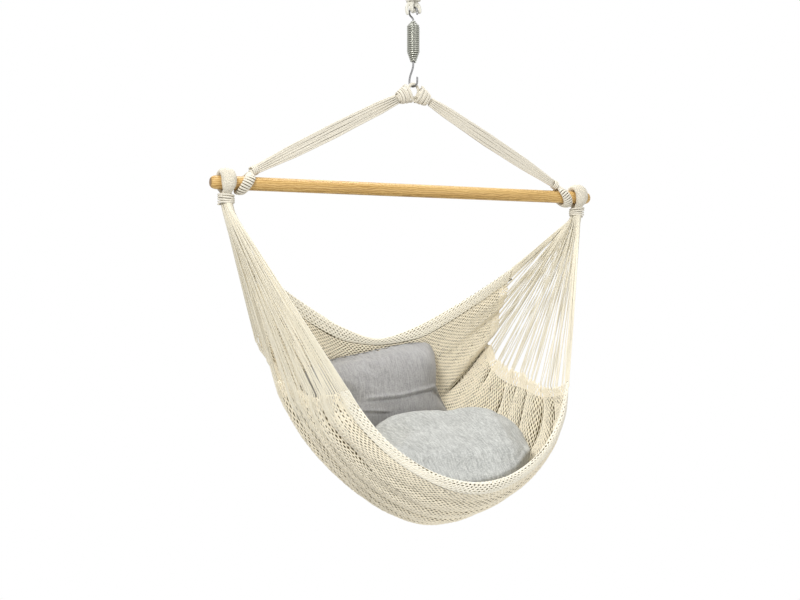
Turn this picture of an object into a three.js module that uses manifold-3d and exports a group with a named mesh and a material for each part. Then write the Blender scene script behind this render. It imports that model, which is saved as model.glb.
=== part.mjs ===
// Hammock chair: a woven cotton seat with two cushions, hung by cords from an oak spreader bar,
// which hangs by two cord bundles, a steel hook and an extension spring from a rope on a ceiling eye.
// Millimetres, +Z up, +X along the bar, the front of the seat towards -Y.
// The origin is on the ceiling, straight above the middle of the bar.
import * as THREE from 'three';
import { mergeVertices } from 'three/addons/utils/BufferGeometryUtils.js';
import Module from 'manifold-3d';

const wasm = await Module();
wasm.setup();

// General clearances
const seatGap = 0.4; // left between two pieces that touch
const windingGap = 0.5; // left between two turns of a winding or a coil

// Ceiling plate, its screws and its eye
const plateRadius = 38;
const plateThick = 5;
const plateEdgeRound = 1.5;
const screwCircle = 26;
const screwCount = 4;
const screwShankRadius = 2.4;
const screwHoleRadius = 2.8;
const screwHeadRadius = 5;
const screwHeadHeight = 3;
const screwFaceShare = 0.6;
const eyeWire = 8;
const eyeDrop = 44; // ceiling to the middle of the wire at the bottom of the eye
const eyeInnerRadius = 13;

// Rope loop between the eye and the upper hook, with its hitch
const ropeDiameter = 13;
const ropeWaistGap = 1.2; // between its two strands inside the hitch
const hitchTurns = 2;
const hitchCord = 9;
const hitchRise = 6; // hitch above the top of the hook

// Extension spring
const springTop = 145; // ceiling to the top of the coil
const springOuterDiameter = 34;
const springWire = 4.8;
const springTurns = 20;
const springTopTaperTurns = 2.5;
const springBottomTaperTurns = 5;

// The two wire hooks that turn in the ends of the spring
const hookWire = 5;
const hookBendRadius = 12.5; // middle of the wire
const hookHeadRadius = 7;
const hookHeadHeight = 4;
const hookPullShare = 0.45; // how straight the shank runs into the bend
const hookTurn = -60; // degrees from +X to the side that the hook opens to
const upperHookTop = 109; // ceiling to the middle of the wire at the top of the upper hook
const upperHookTipDrop = 9;
const lowerHookTipRise = 13;

// Eye of the suspension cords, with its two whipped sides
const eyeStrandTop = 311; // ceiling to the middle of the strand that lies in the lower hook
const eyeStrandDiameter = 8;
const eyeRingHeight = 36;
const eyeRingWidth = 29;
const apexWhippingStart = 16.5; // along the side of the eye
const apexWhippingTurns = 6;
const apexWhippingCord = 4.6;
const apexWhippingInnerRadius = 24;
const apexWhippingOuterRadius = 14.5;
const apexFlatShare = 0.8; // depth of the whipped sides as a share of their height
const apexConeShares = [0, 0.3, 0.65, 1];

// Suspension cords from the eye to the bar
const suspensionCordDiameter = 4.4;
const suspensionCordCount = 9;
const suspensionSpread = 22; // how far the outer cords stand off at mid length
const suspensionEndRadius = 6;
const suspensionDepthShare = 0.55; // depth of the bundle as a share of its height
const collarInset = 112; // from the end of the bar
const collarRise = 33; // above the axis of the bar
const collarCord = 4.2;
const collarTurns = 3;
const collarRadius = 10.9;

// Spreader bar
const barDrop = 592; // ceiling to the axis of the bar
const barLength = 1100;
const barDiameter = 34;
const barTipDiameter = 20;
const barTaperLength = 15;
const barTipRound = 3;

// Woven sleeves of the suspension, slung under the bar
const sleeveInset = 75;
const sleeveWidth = 24;
const sleeveThick = 12;
const sleeveLegWidth = 14;
const sleeveLegThick = 7.2;
const sleeveWrap = 128; // degrees that it follows the bar to each side of its lowest point
const sleeveLegShare = 0.05;
const sleeveSpreadShare = 0.14;

// Woven loops of the hammock, hung over the ends of the bar
const loopInset = 40;
const loopWidth = 39;
const loopThick = 20;
const neckDrop = 41; // axis of the bar to the middle of the neck
const neckWidth = 32;
const neckLegWidthShare = 0.76;
const neckLegThickShare = 0.97;
const neckCord = 5.1;
const neckTurns = 4;
const loopWrap = 63; // degrees past level that it follows the bar

// Arm strings
const armStringCount = 26;
const armStringDiameter = 3.6;
const armStringStandOff = 7;
const bandStringCount = 2; // arm strings that take each end of a band
const armRootLength = 26;
const armRootShares = [0, 0.5, 1];
const armRootTaperShare = 0.35;
const armRootLeanShare = 0.3;
const armRootFootShare = 0.7; // where the strings leave the root
const armRootDepthShare = 0.55;
const armRootAcrossShare = 0.3;

// Seat net, as a surface between its front and its back edge
const seatHalfWidth = 388;
const seatDepth = 610;
const seatDrop = 848; // axis of the bar to the lowest point of the net
const netThick = 5;
const foldCount = 6;
const foldHeight = 18;
const foldStartShare = 0.45;
const netBandGap = 0.8; // leaves room for the facets of both
const middleRoundShare = 0.07; // how far the turn at the middle of the seat is rounded
const frontBandWidth = 34;
const frontBandThick = 15;
const backBandWidth = 44;
const backBandWaistShare = 0.55; // it's gathered narrower at its middle
const backBandWaistReachShare = 0.42;
const backBandThick = 14;
const bandTaperShare = 0.35;
const bandTaperStartShare = 0.8;

// Cords of the seat from the front edge to the back edge, chosen by hand, each as shares of the seat's sizes:
// place between the edges, then across, depth and drop of its end, depth and drop of its middle,
// bulge of its course across the seat, and the power by which it climbs to its end
const seatCordShares = [
  [0.0, 0.773, -0.459, 0.585, -0.623, 0.844, 0.2, 1.92],
  [0.12, 0.814, -0.352, 0.601, -0.6, 0.878, 0.5, 1.65],
  [0.27, 0.855, -0.178, 0.605, -0.431, 0.949, 0.355, 1.94],
  [0.42, 0.871, -0.036, 0.577, -0.2, 1.004, 0.195, 1.86],
  [0.57, 0.904, 0.138, 0.566, 0.064, 0.974, 0.157, 1.91],
  [0.71, 0.91, 0.246, 0.546, 0.262, 0.855, 0.03, 1.83],
  [0.85, 0.928, 0.352, 0.469, 0.369, 0.68, 0.0, 1.57],
  [1.0, 1.0, 0.246, 0.231, 0.377, 0.466, 0.0, 1.36],
];

// Cushions, placed as shares of the net: across it and from its front edge to its back edge
const seatCushion = {
  acrossShare: 0.055,
  halfAcrossShare: 0.54,
  leanShare: 0.15,
  alongShare: 0.272,
  halfAlongShare: 0.242,
  topRise: 180, // lowest point of the net to the level of the rim at its middle
  topMiddle: 165, // how far that middle lies in front of the bar
  topSlope: 0.32,
  mostBelowTop: 130, // it bridges the lowest part of the net
  crown: 42,
  crownPower: 6,
  edgeThick: 46,
  squareness: 4.5,
  drawInShare: 0.02,
};
const backCushion = {
  acrossShare: -0.085,
  halfAcrossShare: 0.56,
  heightShare: 0.36,
  topBelowRim: 26, // top of the back band to the middle of its top edge, which is straight
  topTilt: 0.17,
  leanShare: 0.05,
  crown: 100,
  crownPower: 3,
  edgeThick: 30,
  squareness: 6,
  drawInShare: 0.03,
};
const cushionGap = 3; // between the underside of a cushion and the net, which has facets of its own
const cushionBulge = 7;
const cushionRingShares = [0.0001, 0.3, 0.55, 0.75, 0.9, 1];

// How finely the round forms are stepped
const wireSides = 8;
const hookSides = 6;
const cordSides = 5;
const stringSides = 4;
const coilSteps = 8;
const turnSteps = 12;
const hitchSteps = 24;
const bendSteps = 10;
const ringSteps = 24;
const coneSides = 12;
const suspensionSteps = 6;
const wrapSteps = 16;
const cushionTurns = 32;
const netColumns = 22;
const netRows = 24;
const lineSamples = 60;
const probeShare = 0.01;
const bisections = 16;

// Sizes that follow from the ones above
const barZ = -barDrop;
const barRadius = barDiameter / 2;
const hookAngle = THREE.MathUtils.degToRad(hookTurn);
const hookSide = new THREE.Vector3(Math.cos(hookAngle), Math.sin(hookAngle), 0);
const hookCross = new THREE.Vector3(-Math.sin(hookAngle), Math.cos(hookAngle), 0);
const down = new THREE.Vector3(0, 0, -1);
const acrossAxis = new THREE.Vector3(1, 0, 0);
const depthAxis = new THREE.Vector3(0, 1, 0);
const up = new THREE.Vector3(0, 0, 1);
const springPitch = springWire + windingGap;
const springLength = springPitch * springTurns;
const springMeanRadius = (springOuterDiameter - springWire) / 2;
const springEndRadius = hookWire / 2 + seatGap + springWire / 2;

// Mesh helpers
function signedVolume(positions, indices) {
  let sum = 0;
  for (let i = 0; i < indices.length; i += 3) {
    const a = new THREE.Vector3().fromArray(positions, indices[i] * 3);
    const b = new THREE.Vector3().fromArray(positions, indices[i + 1] * 3);
    const c = new THREE.Vector3().fromArray(positions, indices[i + 2] * 3);
    sum += a.dot(b.cross(c)) / 6;
  }
  return sum;
}

function closedGeometry(positions, indices) {
  if (signedVolume(positions, indices) < 0) indices.reverse();
  const geometry = new THREE.BufferGeometry();
  geometry.setAttribute('position', new THREE.Float32BufferAttribute(positions, 3));
  geometry.setIndex(indices);
  return geometry;
}

// A stack of closed rings, all with as many points, capped at both ends
function ringStack(rings) {
  const sides = rings[0].length;
  const positions = [];
  const indices = [];
  for (const ring of rings) for (const point of ring) positions.push(point.x, point.y, point.z);
  for (let i = 0; i < rings.length - 1; i++) {
    for (let j = 0; j < sides; j++) {
      const a = i * sides + j;
      const b = i * sides + ((j + 1) % sides);
      indices.push(a, b, a + sides, b, b + sides, a + sides);
    }
  }
  const last = (rings.length - 1) * sides;
  for (let j = 1; j < sides - 1; j++) {
    indices.push(0, j + 1, j);
    indices.push(last, last + j, last + j + 1);
  }
  return closedGeometry(positions, indices);
}

// A tube of oval section along points; sectionAt gives [width, thickness] at a share of its steps.
// The width keeps to widthSide all the way, or is carried along the tube from there when it may turn
function sweep(points, sides, sectionAt, widthSide, mayTurn = false) {
  const rings = [];
  const side = new THREE.Vector3();
  points.forEach((point, i) => {
    const before = points[Math.max(i - 1, 0)];
    const after = points[Math.min(i + 1, points.length - 1)];
    const along = after.clone().sub(before).normalize();
    if (i === 0 || !mayTurn) side.copy(widthSide);
    side.addScaledVector(along, -side.dot(along)).normalize();
    const other = along.clone().cross(side);
    const [width, thick] = sectionAt(i / (points.length - 1));
    const ring = [];
    for (let j = 0; j < sides; j++) {
      const angle = ((j + 0.5) / sides) * 2 * Math.PI;
      ring.push(point.clone()
        .addScaledVector(side, (Math.cos(angle) * width) / 2)
        .addScaledVector(other, (Math.sin(angle) * thick) / 2));
    }
    rings.push(ring);
  });
  return ringStack(rings);
}

function roundTube(points, diameter, sides, widthSide) {
  return sweep(points, sides, () => [diameter, diameter], widthSide, true);
}

function solidOf(geometry) {
  const plain = geometry.clone();
  plain.deleteAttribute('normal');
  plain.deleteAttribute('uv');
  const merged = mergeVertices(plain);
  return new wasm.Manifold(new wasm.Mesh({
    numProp: 3,
    vertProperties: new Float32Array(merged.attributes.position.array),
    triVerts: new Uint32Array(merged.index.array),
  }));
}

function geometryOf(solid) {
  const mesh = solid.getMesh();
  const geometry = new THREE.BufferGeometry();
  geometry.setAttribute('position', new THREE.BufferAttribute(mesh.vertProperties, 3));
  geometry.setIndex(new THREE.BufferAttribute(mesh.triVerts, 1));
  return geometry;
}

function joined(geometries) {
  return geometryOf(geometries.map(solidOf).reduce((sum, solid) => sum.add(solid)));
}

function arcPoints(middle, first, second, radius, from, to, steps) {
  const points = [];
  for (let i = 0; i <= steps; i++) {
    const angle = from + ((to - from) * i) / steps;
    points.push(middle.clone()
      .addScaledVector(first, radius * Math.cos(angle))
      .addScaledVector(second, radius * Math.sin(angle)));
  }
  return points;
}

// How far the flats of a many-sided ring lie inside its round course
function flatLoss(radius, steps) {
  return radius * (1 - Math.cos(Math.PI / steps));
}

function smooth(share) {
  const t = Math.min(Math.max(share, 0), 1);
  return t * t * (3 - 2 * t);
}

// Materials
function material(color, roughness, metalness) {
  return new THREE.MeshStandardMaterial({ color, roughness, metalness });
}
const steel = material('#9c9c98', 0.32, 1);
const cotton = material('#e8dfc8', 0.9, 0);
const oak = material('#d2a565', 0.5, 0);
const lightGrey = material('#b9bab9', 0.95, 0);
const midGrey = material('#9b9b9c', 0.95, 0);

const chair = new THREE.Group();
const counts = {};

function addPiece(name, geometry, look) {
  const mesh = new THREE.Mesh(geometry, look);
  mesh.name = name;
  chair.add(mesh);
  const corners = geometry.index ? geometry.index.count : geometry.attributes.position.count;
  counts[name] = corners / 3;
}

// Least distance between two turns of one coil, measured from its centre line
function leastGap(points, steps, diameter) {
  let least = Infinity;
  for (let i = 0; i < points.length; i++) {
    for (let j = i + Math.floor(steps / 2); j < points.length; j++) {
      least = Math.min(least, points[i].distanceTo(points[j]) - diameter);
    }
  }
  return least;
}

// A winding about an axis; radiusAt gives its radius at a share of its length, and apart is half the
// distance between two strands that lie side by side in it
function windingPoints(start, axis, first, turns, pitch, steps, radiusAt, flatShare = 1, apart = 0) {
  const second = axis.clone().cross(first).normalize();
  const points = [];
  const total = Math.round(turns * steps);
  for (let i = 0; i <= total; i++) {
    const share = i / total;
    const angle = (i / steps) * 2 * Math.PI;
    const radius = radiusAt(share);
    const split = apart * THREE.MathUtils.clamp(2 * Math.cos(angle), -1, 1);
    points.push(start.clone()
      .addScaledVector(axis, share * turns * pitch)
      .addScaledVector(first, Math.cos(angle) * radius + split)
      .addScaledVector(second, Math.sin(angle) * radius * flatShare));
  }
  return points;
}

// Both ends run straight on for one diameter
function withStraightEnds(points, diameter) {
  const first = points[0].clone().sub(points[1]).setLength(diameter).add(points[0]);
  const n = points.length;
  const last = points[n - 1].clone().sub(points[n - 2]).setLength(diameter).add(points[n - 1]);
  return [first, ...points, last];
}

// Ceiling plate with its eye and its screws
function plateGeometry() {
  const flat = new THREE.Shape().absarc(0, 0, plateRadius - plateEdgeRound, 0, 2 * Math.PI);
  for (let i = 0; i < screwCount; i++) {
    const angle = ((i + 0.5) / screwCount) * 2 * Math.PI;
    const hole = new THREE.Path();
    const holeRadius = screwHoleRadius + plateEdgeRound;
    const [x, y] = [screwCircle * Math.cos(angle), screwCircle * Math.sin(angle)];
    hole.absarc(x, y, holeRadius, 0, 2 * Math.PI, true);
    flat.holes.push(hole);
  }
  const body = new THREE.ExtrudeGeometry(flat, {
    depth: plateThick - 2 * plateEdgeRound,
    bevelEnabled: true,
    bevelThickness: plateEdgeRound,
    bevelSize: plateEdgeRound,
    bevelSegments: 1,
    curveSegments: 8,
  });
  body.translate(0, 0, -plateThick + plateEdgeRound);
  return body;
}

function eyeGeometry() {
  const radius = eyeInnerRadius + eyeWire / 2;
  const middle = new THREE.Vector3(0, 0, -eyeDrop + radius);
  const arc = arcPoints(middle, hookSide, up, radius, Math.PI, 2 * Math.PI, bendSteps);
  const top = -plateThick / 2;
  const left = arc[0].clone().setZ(top);
  const right = arc[arc.length - 1].clone().setZ(top);
  return roundTube([left, ...arc, right], eyeWire, wireSides, hookCross);
}

function screwGeometry() {
  const profile = [
    new THREE.Vector2(0, 0),
    new THREE.Vector2(screwShankRadius, 0),
    new THREE.Vector2(screwShankRadius, -plateThick - seatGap),
    new THREE.Vector2(screwHeadRadius, -plateThick - seatGap),
    new THREE.Vector2(screwHeadRadius * screwFaceShare, -plateThick - seatGap - screwHeadHeight),
    new THREE.Vector2(0, -plateThick - seatGap - screwHeadHeight),
  ];
  return new THREE.LatheGeometry(profile.reverse(), coneSides).rotateX(Math.PI / 2);
}

addPiece('ceiling_plate', joined([plateGeometry(), eyeGeometry()]), steel);
for (let i = 0; i < screwCount; i++) {
  const angle = ((i + 0.5) / screwCount) * 2 * Math.PI;
  const screw = screwGeometry();
  screw.translate(screwCircle * Math.cos(angle), screwCircle * Math.sin(angle), 0);
  addPiece(`ceiling_screw_${i + 1}`, screw, steel);
}

// Rope loop: over the wire of the eye, down both sides and under the wire of the upper hook
const ropeTopRadius = eyeWire / 2 + seatGap + ropeDiameter / 2;
const ropeBottomRadius = hookWire / 2 + seatGap + ropeDiameter / 2;
const upperBendMiddle = new THREE.Vector3(0, 0, -upperHookTop - hookBendRadius);
const ropeInHook = hookBendRadius - hookWire / 2 - seatGap - ropeDiameter / 2;
const ropeBottomMiddle = upperBendMiddle.clone().addScaledVector(up, ropeInHook + ropeBottomRadius);

const hitchPitch = hitchCord + windingGap;
const hitchBottomZ = -upperHookTop + hookWire / 2 + hitchRise;
const hitchTopZ = hitchBottomZ + hitchTurns * hitchPitch + hitchCord;
const ropeWaist = (ropeDiameter + ropeWaistGap) / 2;

function ropeGeometry() {
  const topMiddle = new THREE.Vector3(0, 0, -eyeDrop);
  const over = arcPoints(topMiddle, hookCross, up, ropeTopRadius, 0, Math.PI, bendSteps);
  const under = arcPoints(ropeBottomMiddle, hookCross, up, ropeBottomRadius, Math.PI, 2 * Math.PI, bendSteps);
  const waistAt = (side, z) => new THREE.Vector3(0, 0, z).addScaledVector(hookCross, side * ropeWaist);
  const ring = [
    ...over, waistAt(-1, hitchTopZ), waistAt(-1, hitchBottomZ),
    ...under, waistAt(1, hitchBottomZ), waistAt(1, hitchTopZ),
  ];
  const rings = [];
  ring.forEach((point, i) => {
    const before = ring[(i + ring.length - 1) % ring.length];
    const after = ring[(i + 1) % ring.length];
    const along = after.clone().sub(before).normalize();
    const other = along.clone().cross(hookSide);
    const section = [];
    for (let j = 0; j < wireSides; j++) {
      const angle = ((j + 0.5) / wireSides) * 2 * Math.PI;
      section.push(point.clone()
        .addScaledVector(hookSide, (Math.cos(angle) * ropeDiameter) / 2)
        .addScaledVector(other, (Math.sin(angle) * ropeDiameter) / 2));
    }
    rings.push(section);
  });
  return closedLoop(rings);
}

// A ring of sections that closes on itself
function closedLoop(rings) {
  const sides = rings[0].length;
  const positions = [];
  const indices = [];
  for (const ring of rings) for (const point of ring) positions.push(point.x, point.y, point.z);
  for (let i = 0; i < rings.length; i++) {
    const next = (i + 1) % rings.length;
    for (let j = 0; j < sides; j++) {
      const k = (j + 1) % sides;
      indices.push(i * sides + j, i * sides + k, next * sides + j);
      indices.push(i * sides + k, next * sides + k, next * sides + j);
    }
  }
  return closedGeometry(positions, indices);
}

function hitchGeometry() {
  const radius = ropeDiameter / 2 + 2 * seatGap + hitchCord / 2;
  const start = new THREE.Vector3(0, 0, hitchBottomZ + hitchCord / 2);
  const points = windingPoints(
    start, up, hookCross, hitchTurns, hitchPitch, hitchSteps, () => radius, 1, ropeWaist,
  );
  console.log('rope_hitch least gap', leastGap(points, hitchSteps, hitchCord).toFixed(2));
  return roundTube(withStraightEnds(points, hitchCord), hitchCord, hookSides, up);
}

addPiece('hanging_rope', ropeGeometry(), cotton);
addPiece('rope_hitch', hitchGeometry(), cotton);

// Extension spring
function springRadiusAt(share) {
  const turn = share * springTurns;
  const top = smooth(turn / springTopTaperTurns);
  const bottom = Math.min(Math.max((springTurns - turn) / springBottomTaperTurns, 0), 1);
  return springEndRadius + (springMeanRadius - springEndRadius) * Math.min(top, bottom);
}

const springStart = new THREE.Vector3(0, 0, -springTop - springWire / 2);
const springPoints = windingPoints(
  springStart, down, hookSide, springTurns, springPitch, coilSteps, springRadiusAt,
);
console.log('extension_spring least gap', leastGap(springPoints, coilSteps, springWire).toFixed(2));
const springRoute = withStraightEnds(springPoints, springWire);
addPiece('extension_spring', roundTube(springRoute, springWire, cordSides, down), steel);
const springBottomZ = -springTop - springWire - springLength;

// Hooks: a head inside the spring, a shank through its end, and a bend that opens to one side
function hookGeometry(headZ, outZ, bendMiddle, tipLength, away) {
  const shankStart = new THREE.Vector3(0, 0, headZ);
  const shankEnd = new THREE.Vector3(0, 0, outZ);
  const bendStart = bendMiddle.clone().addScaledVector(hookSide, -hookBendRadius);
  const pull = shankEnd.distanceTo(bendStart) * hookPullShare;
  const curve = new THREE.CubicBezierCurve3(
    shankEnd,
    shankEnd.clone().addScaledVector(away, pull),
    bendStart.clone().addScaledVector(away, -pull),
    bendStart,
  );
  const bend = arcPoints(bendMiddle, hookSide.clone().negate(), away, hookBendRadius, 0, Math.PI, bendSteps);
  const tip = bend[bend.length - 1].clone().addScaledVector(away, -tipLength);
  const points = [shankStart, ...curve.getPoints(coilSteps), ...bend.slice(1), tip];
  const wire = roundTube(points, hookWire, hookSides, hookCross);
  const head = new THREE.CylinderGeometry(hookHeadRadius, hookHeadRadius, hookHeadHeight, coneSides);
  head.rotateX(Math.PI / 2).translate(0, 0, headZ);
  return joined([wire, head]);
}

function headDepth(taperTurns) {
  const slope = (springMeanRadius - springEndRadius) / (taperTurns * springPitch);
  const needed = hookHeadRadius + seatGap + springWire / 2 - springEndRadius;
  return needed / slope + springWire + hookHeadHeight / 2;
}

const lowerBendMiddle = new THREE.Vector3(0, 0, -eyeStrandTop);
lowerBendMiddle.z += hookBendRadius - hookWire / 2 - seatGap - eyeStrandDiameter / 2;
const upperHeadZ = -springTop - headDepth(springTopTaperTurns);
const lowerHeadZ = springBottomZ + headDepth(springBottomTaperTurns);
const upperHook = hookGeometry(upperHeadZ, -springTop, upperBendMiddle, upperHookTipDrop, up);
const lowerHook = hookGeometry(lowerHeadZ, springBottomZ, lowerBendMiddle, lowerHookTipRise, down);
addPiece('upper_hook', upperHook, steel);
addPiece('lower_hook', lowerHook, steel);

// Eye of the suspension cords: a ring of strands in the lower hook, and a whipped cone at each side
const eyeMiddle = new THREE.Vector3(0, 0, -eyeStrandTop - eyeRingHeight / 2);
const collarPoint = new THREE.Vector3(barLength / 2 - collarInset, 0, collarRise - barDrop);
const suspensionAxis = collarPoint.clone().sub(eyeMiddle).normalize();
const suspensionNormal = new THREE.Vector3(suspensionAxis.z, 0, -suspensionAxis.x).negate();
const apexPitch = apexWhippingCord + windingGap;
const apexWhippingLength = apexPitch * apexWhippingTurns;
const apexEnd = apexWhippingStart + apexWhippingLength + apexWhippingCord + seatGap;

function apexRadiusAt(share) {
  return apexWhippingInnerRadius + (apexWhippingOuterRadius - apexWhippingInnerRadius) * share;
}

function mirrored(points, side) {
  return points.map((point) => new THREE.Vector3(point.x * side, point.y, point.z));
}

function apexCone(side) {
  const inward = apexWhippingCord / 2 + 3 * seatGap + flatLoss(apexWhippingInnerRadius, turnSteps);
  const rings = apexConeShares.map((share) => {
    const from = eyeRingWidth / 2;
    const middle = eyeMiddle.clone().addScaledVector(suspensionAxis, from + (apexEnd - from) * share);
    const radius = apexRadiusAt(share) - inward;
    const tall = share === 0 ? eyeStrandDiameter : radius;
    const points = [];
    for (let j = 0; j < coneSides; j++) {
      const angle = (j / coneSides) * 2 * Math.PI;
      points.push(middle.clone()
        .addScaledVector(suspensionNormal, Math.cos(angle) * tall)
        .addScaledVector(depthAxis, Math.sin(angle) * Math.min(radius, tall) * apexFlatShare));
    }
    return mirrored(points, side);
  });
  return ringStack(rings);
}

function eyeRingGeometry() {
  const rings = [];
  for (let i = 0; i < ringSteps; i++) {
    const angle = (i / ringSteps) * 2 * Math.PI;
    const outward = new THREE.Vector3(Math.cos(angle), 0, Math.sin(angle));
    const point = eyeMiddle.clone();
    point.x += (Math.cos(angle) * eyeRingWidth) / 2;
    point.z += (Math.sin(angle) * eyeRingHeight) / 2;
    const ring = [];
    for (let j = 0; j < wireSides; j++) {
      const turn = ((j + 0.5) / wireSides) * 2 * Math.PI;
      ring.push(point.clone()
        .addScaledVector(outward, (Math.cos(turn) * eyeStrandDiameter) / 2)
        .add(new THREE.Vector3(0, (Math.sin(turn) * eyeStrandDiameter) / 2, 0)));
    }
    rings.push(ring);
  }
  return closedLoop(rings);
}

addPiece('cord_eye', joined([eyeRingGeometry(), apexCone(-1), apexCone(1)]), cotton);

const sides = [['left', -1], ['right', 1]];
for (const [word, side] of sides) {
  const start = eyeMiddle.clone().addScaledVector(suspensionAxis, apexWhippingStart + apexWhippingCord / 2);
  const points = windingPoints(
    start, suspensionAxis, suspensionNormal, apexWhippingTurns, apexPitch, turnSteps,
    apexRadiusAt, apexFlatShare,
  );
  const gap = leastGap(points, turnSteps, apexWhippingCord);
  if (side > 0) console.log('apex_whipping least gap', gap.toFixed(2));
  const route = mirrored(withStraightEnds(points, apexWhippingCord), side);
  const tube = roundTube(route, apexWhippingCord, cordSides, up);
  addPiece(`apex_whipping_${word}`, tube, cotton);
}

// Suspension cords: they stand apart at mid length and gather in a knot of cords at both ends
const suspensionStart = eyeMiddle.clone().addScaledVector(suspensionAxis, apexEnd + seatGap);
const suspensionLength = suspensionStart.distanceTo(collarPoint);
const gatherLength = suspensionEndRadius * 2;

function gatherCone(from, fromRadius, toRadius, length) {
  const rings = [0, 1].map((share) => {
    const middle = suspensionStart.clone().addScaledVector(suspensionAxis, from + length * share);
    const radius = share === 0 ? fromRadius : toRadius;
    return arcPoints(middle, suspensionNormal, depthAxis, radius, 0, 2 * Math.PI, coneSides).slice(1);
  });
  return ringStack(rings);
}

function suspensionGeometry() {
  const rootRadius = apexRadiusAt(1) * apexFlatShare - apexWhippingCord / 2 - seatGap;
  const pieces = [
    gatherCone(0, rootRadius, suspensionEndRadius, gatherLength),
    gatherCone(suspensionLength - gatherLength, suspensionEndRadius, suspensionEndRadius, gatherLength),
  ];
  const reach = suspensionEndRadius - suspensionCordDiameter / 2;
  for (let k = 0; k < suspensionCordCount; k++) {
    const angle = ((k + 0.5) / suspensionCordCount) * 2 * Math.PI;
    const points = [];
    for (let i = 0; i <= suspensionSteps; i++) {
      const share = i / suspensionSteps;
      const length = gatherLength / 2 + (suspensionLength - gatherLength) * share;
      const spread = reach + (suspensionSpread - reach) * Math.sin(Math.PI * share);
      points.push(suspensionStart.clone()
        .addScaledVector(suspensionAxis, length)
        .addScaledVector(suspensionNormal, Math.cos(angle) * spread)
        .add(new THREE.Vector3(0, Math.sin(angle) * spread * suspensionDepthShare, 0)));
    }
    pieces.push(roundTube(points, suspensionCordDiameter, cordSides, suspensionNormal));
  }
  return joined(pieces);
}

const suspension = suspensionGeometry();
for (const [word, side] of sides) {
  const copy = suspension.clone();
  if (side < 0) {
    copy.scale(-1, 1, 1);
    copy.setIndex(Array.from(copy.index.array).reverse());
  }
  addPiece(`suspension_cords_${word}`, copy, cotton);
}

// Woven sleeve of the suspension: down from the collar, under the bar and up again
const sleeveRadius = barRadius + seatGap + sleeveThick / 2;
const sleeveAcross = barLength / 2 - sleeveInset;
const sleeveBottomZ = barZ - sleeveRadius;
const collarPitch = collarCord + windingGap;
const collarHalf = (collarPitch * collarTurns) / 2;
const collarExit = collarPoint.clone().addScaledVector(suspensionAxis, collarHalf);
const sleeveLean = (sleeveAcross - collarExit.x) / (collarExit.z - sleeveBottomZ);

function sleeveGeometry(side) {
  const reach = THREE.MathUtils.degToRad(sleeveWrap);
  const points = [];
  for (let i = 0; i <= wrapSteps; i++) {
    const angle = -reach + (2 * reach * i) / wrapSteps;
    const z = barZ - sleeveRadius * Math.cos(angle);
    const x = sleeveAcross - sleeveLean * (z - sleeveBottomZ);
    points.push(new THREE.Vector3(x, sleeveRadius * Math.sin(angle), z));
  }
  const legOff = (sleeveLegThick + seatGap) / 2;
  const top = collarPoint.clone().addScaledVector(suspensionAxis, seatGap);
  const out = collarPoint.clone().addScaledVector(suspensionAxis, collarHalf + collarCord);
  const leg = (y) => [top.clone().setY(y), out.clone().setY(y)];
  const route = [...leg(-legOff), ...points, ...leg(legOff).reverse()];
  const section = (share) => {
    const body = smooth((Math.min(share, 1 - share) - sleeveLegShare) / sleeveSpreadShare);
    return [
      sleeveLegWidth + (sleeveWidth - sleeveLegWidth) * body,
      sleeveLegThick + (sleeveThick - sleeveLegThick) * body,
    ];
  };
  return sweep(mirrored(route, side), wireSides, section, acrossAxis);
}

for (const [word, side] of sides) {
  addPiece(`bar_sleeve_${word}`, sleeveGeometry(side), cotton);
  const start = collarPoint.clone().addScaledVector(suspensionAxis, -collarHalf);
  const points = windingPoints(
    start, suspensionAxis, suspensionNormal, collarTurns, collarPitch, turnSteps, () => collarRadius,
  );
  if (side > 0) console.log('collar_whipping least gap', leastGap(points, turnSteps, collarCord).toFixed(2));
  const route = mirrored(withStraightEnds(points, collarCord), side);
  addPiece(`collar_whipping_${word}`, roundTube(route, collarCord, cordSides, up), cotton);
}

// Spreader bar, turned along X with tapered ends
function barGeometry() {
  const half = barLength / 2;
  const tip = barTipDiameter / 2;
  const profile = [
    new THREE.Vector2(0, -half),
    new THREE.Vector2(tip - barTipRound, -half),
    new THREE.Vector2(tip, -half + barTipRound),
    new THREE.Vector2(barRadius, -half + barTaperLength),
    new THREE.Vector2(barRadius, half - barTaperLength),
    new THREE.Vector2(tip, half - barTipRound),
    new THREE.Vector2(tip - barTipRound, half),
    new THREE.Vector2(0, half),
  ];
  return new THREE.LatheGeometry(profile, ringSteps).rotateZ(-Math.PI / 2).translate(0, 0, barZ);
}

addPiece('spreader_bar', barGeometry(), oak);

// Woven loops of the hammock over the ends of the bar, gathered in a neck below it
const loopAcross = barLength / 2 - loopInset;
const neckZ = barZ - neckDrop;
const neckLegThick = (neckWidth / 2) * neckLegThickShare;
const neckLegWidth = neckWidth * neckLegWidthShare;
const neckPitch = neckCord + windingGap;

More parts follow.
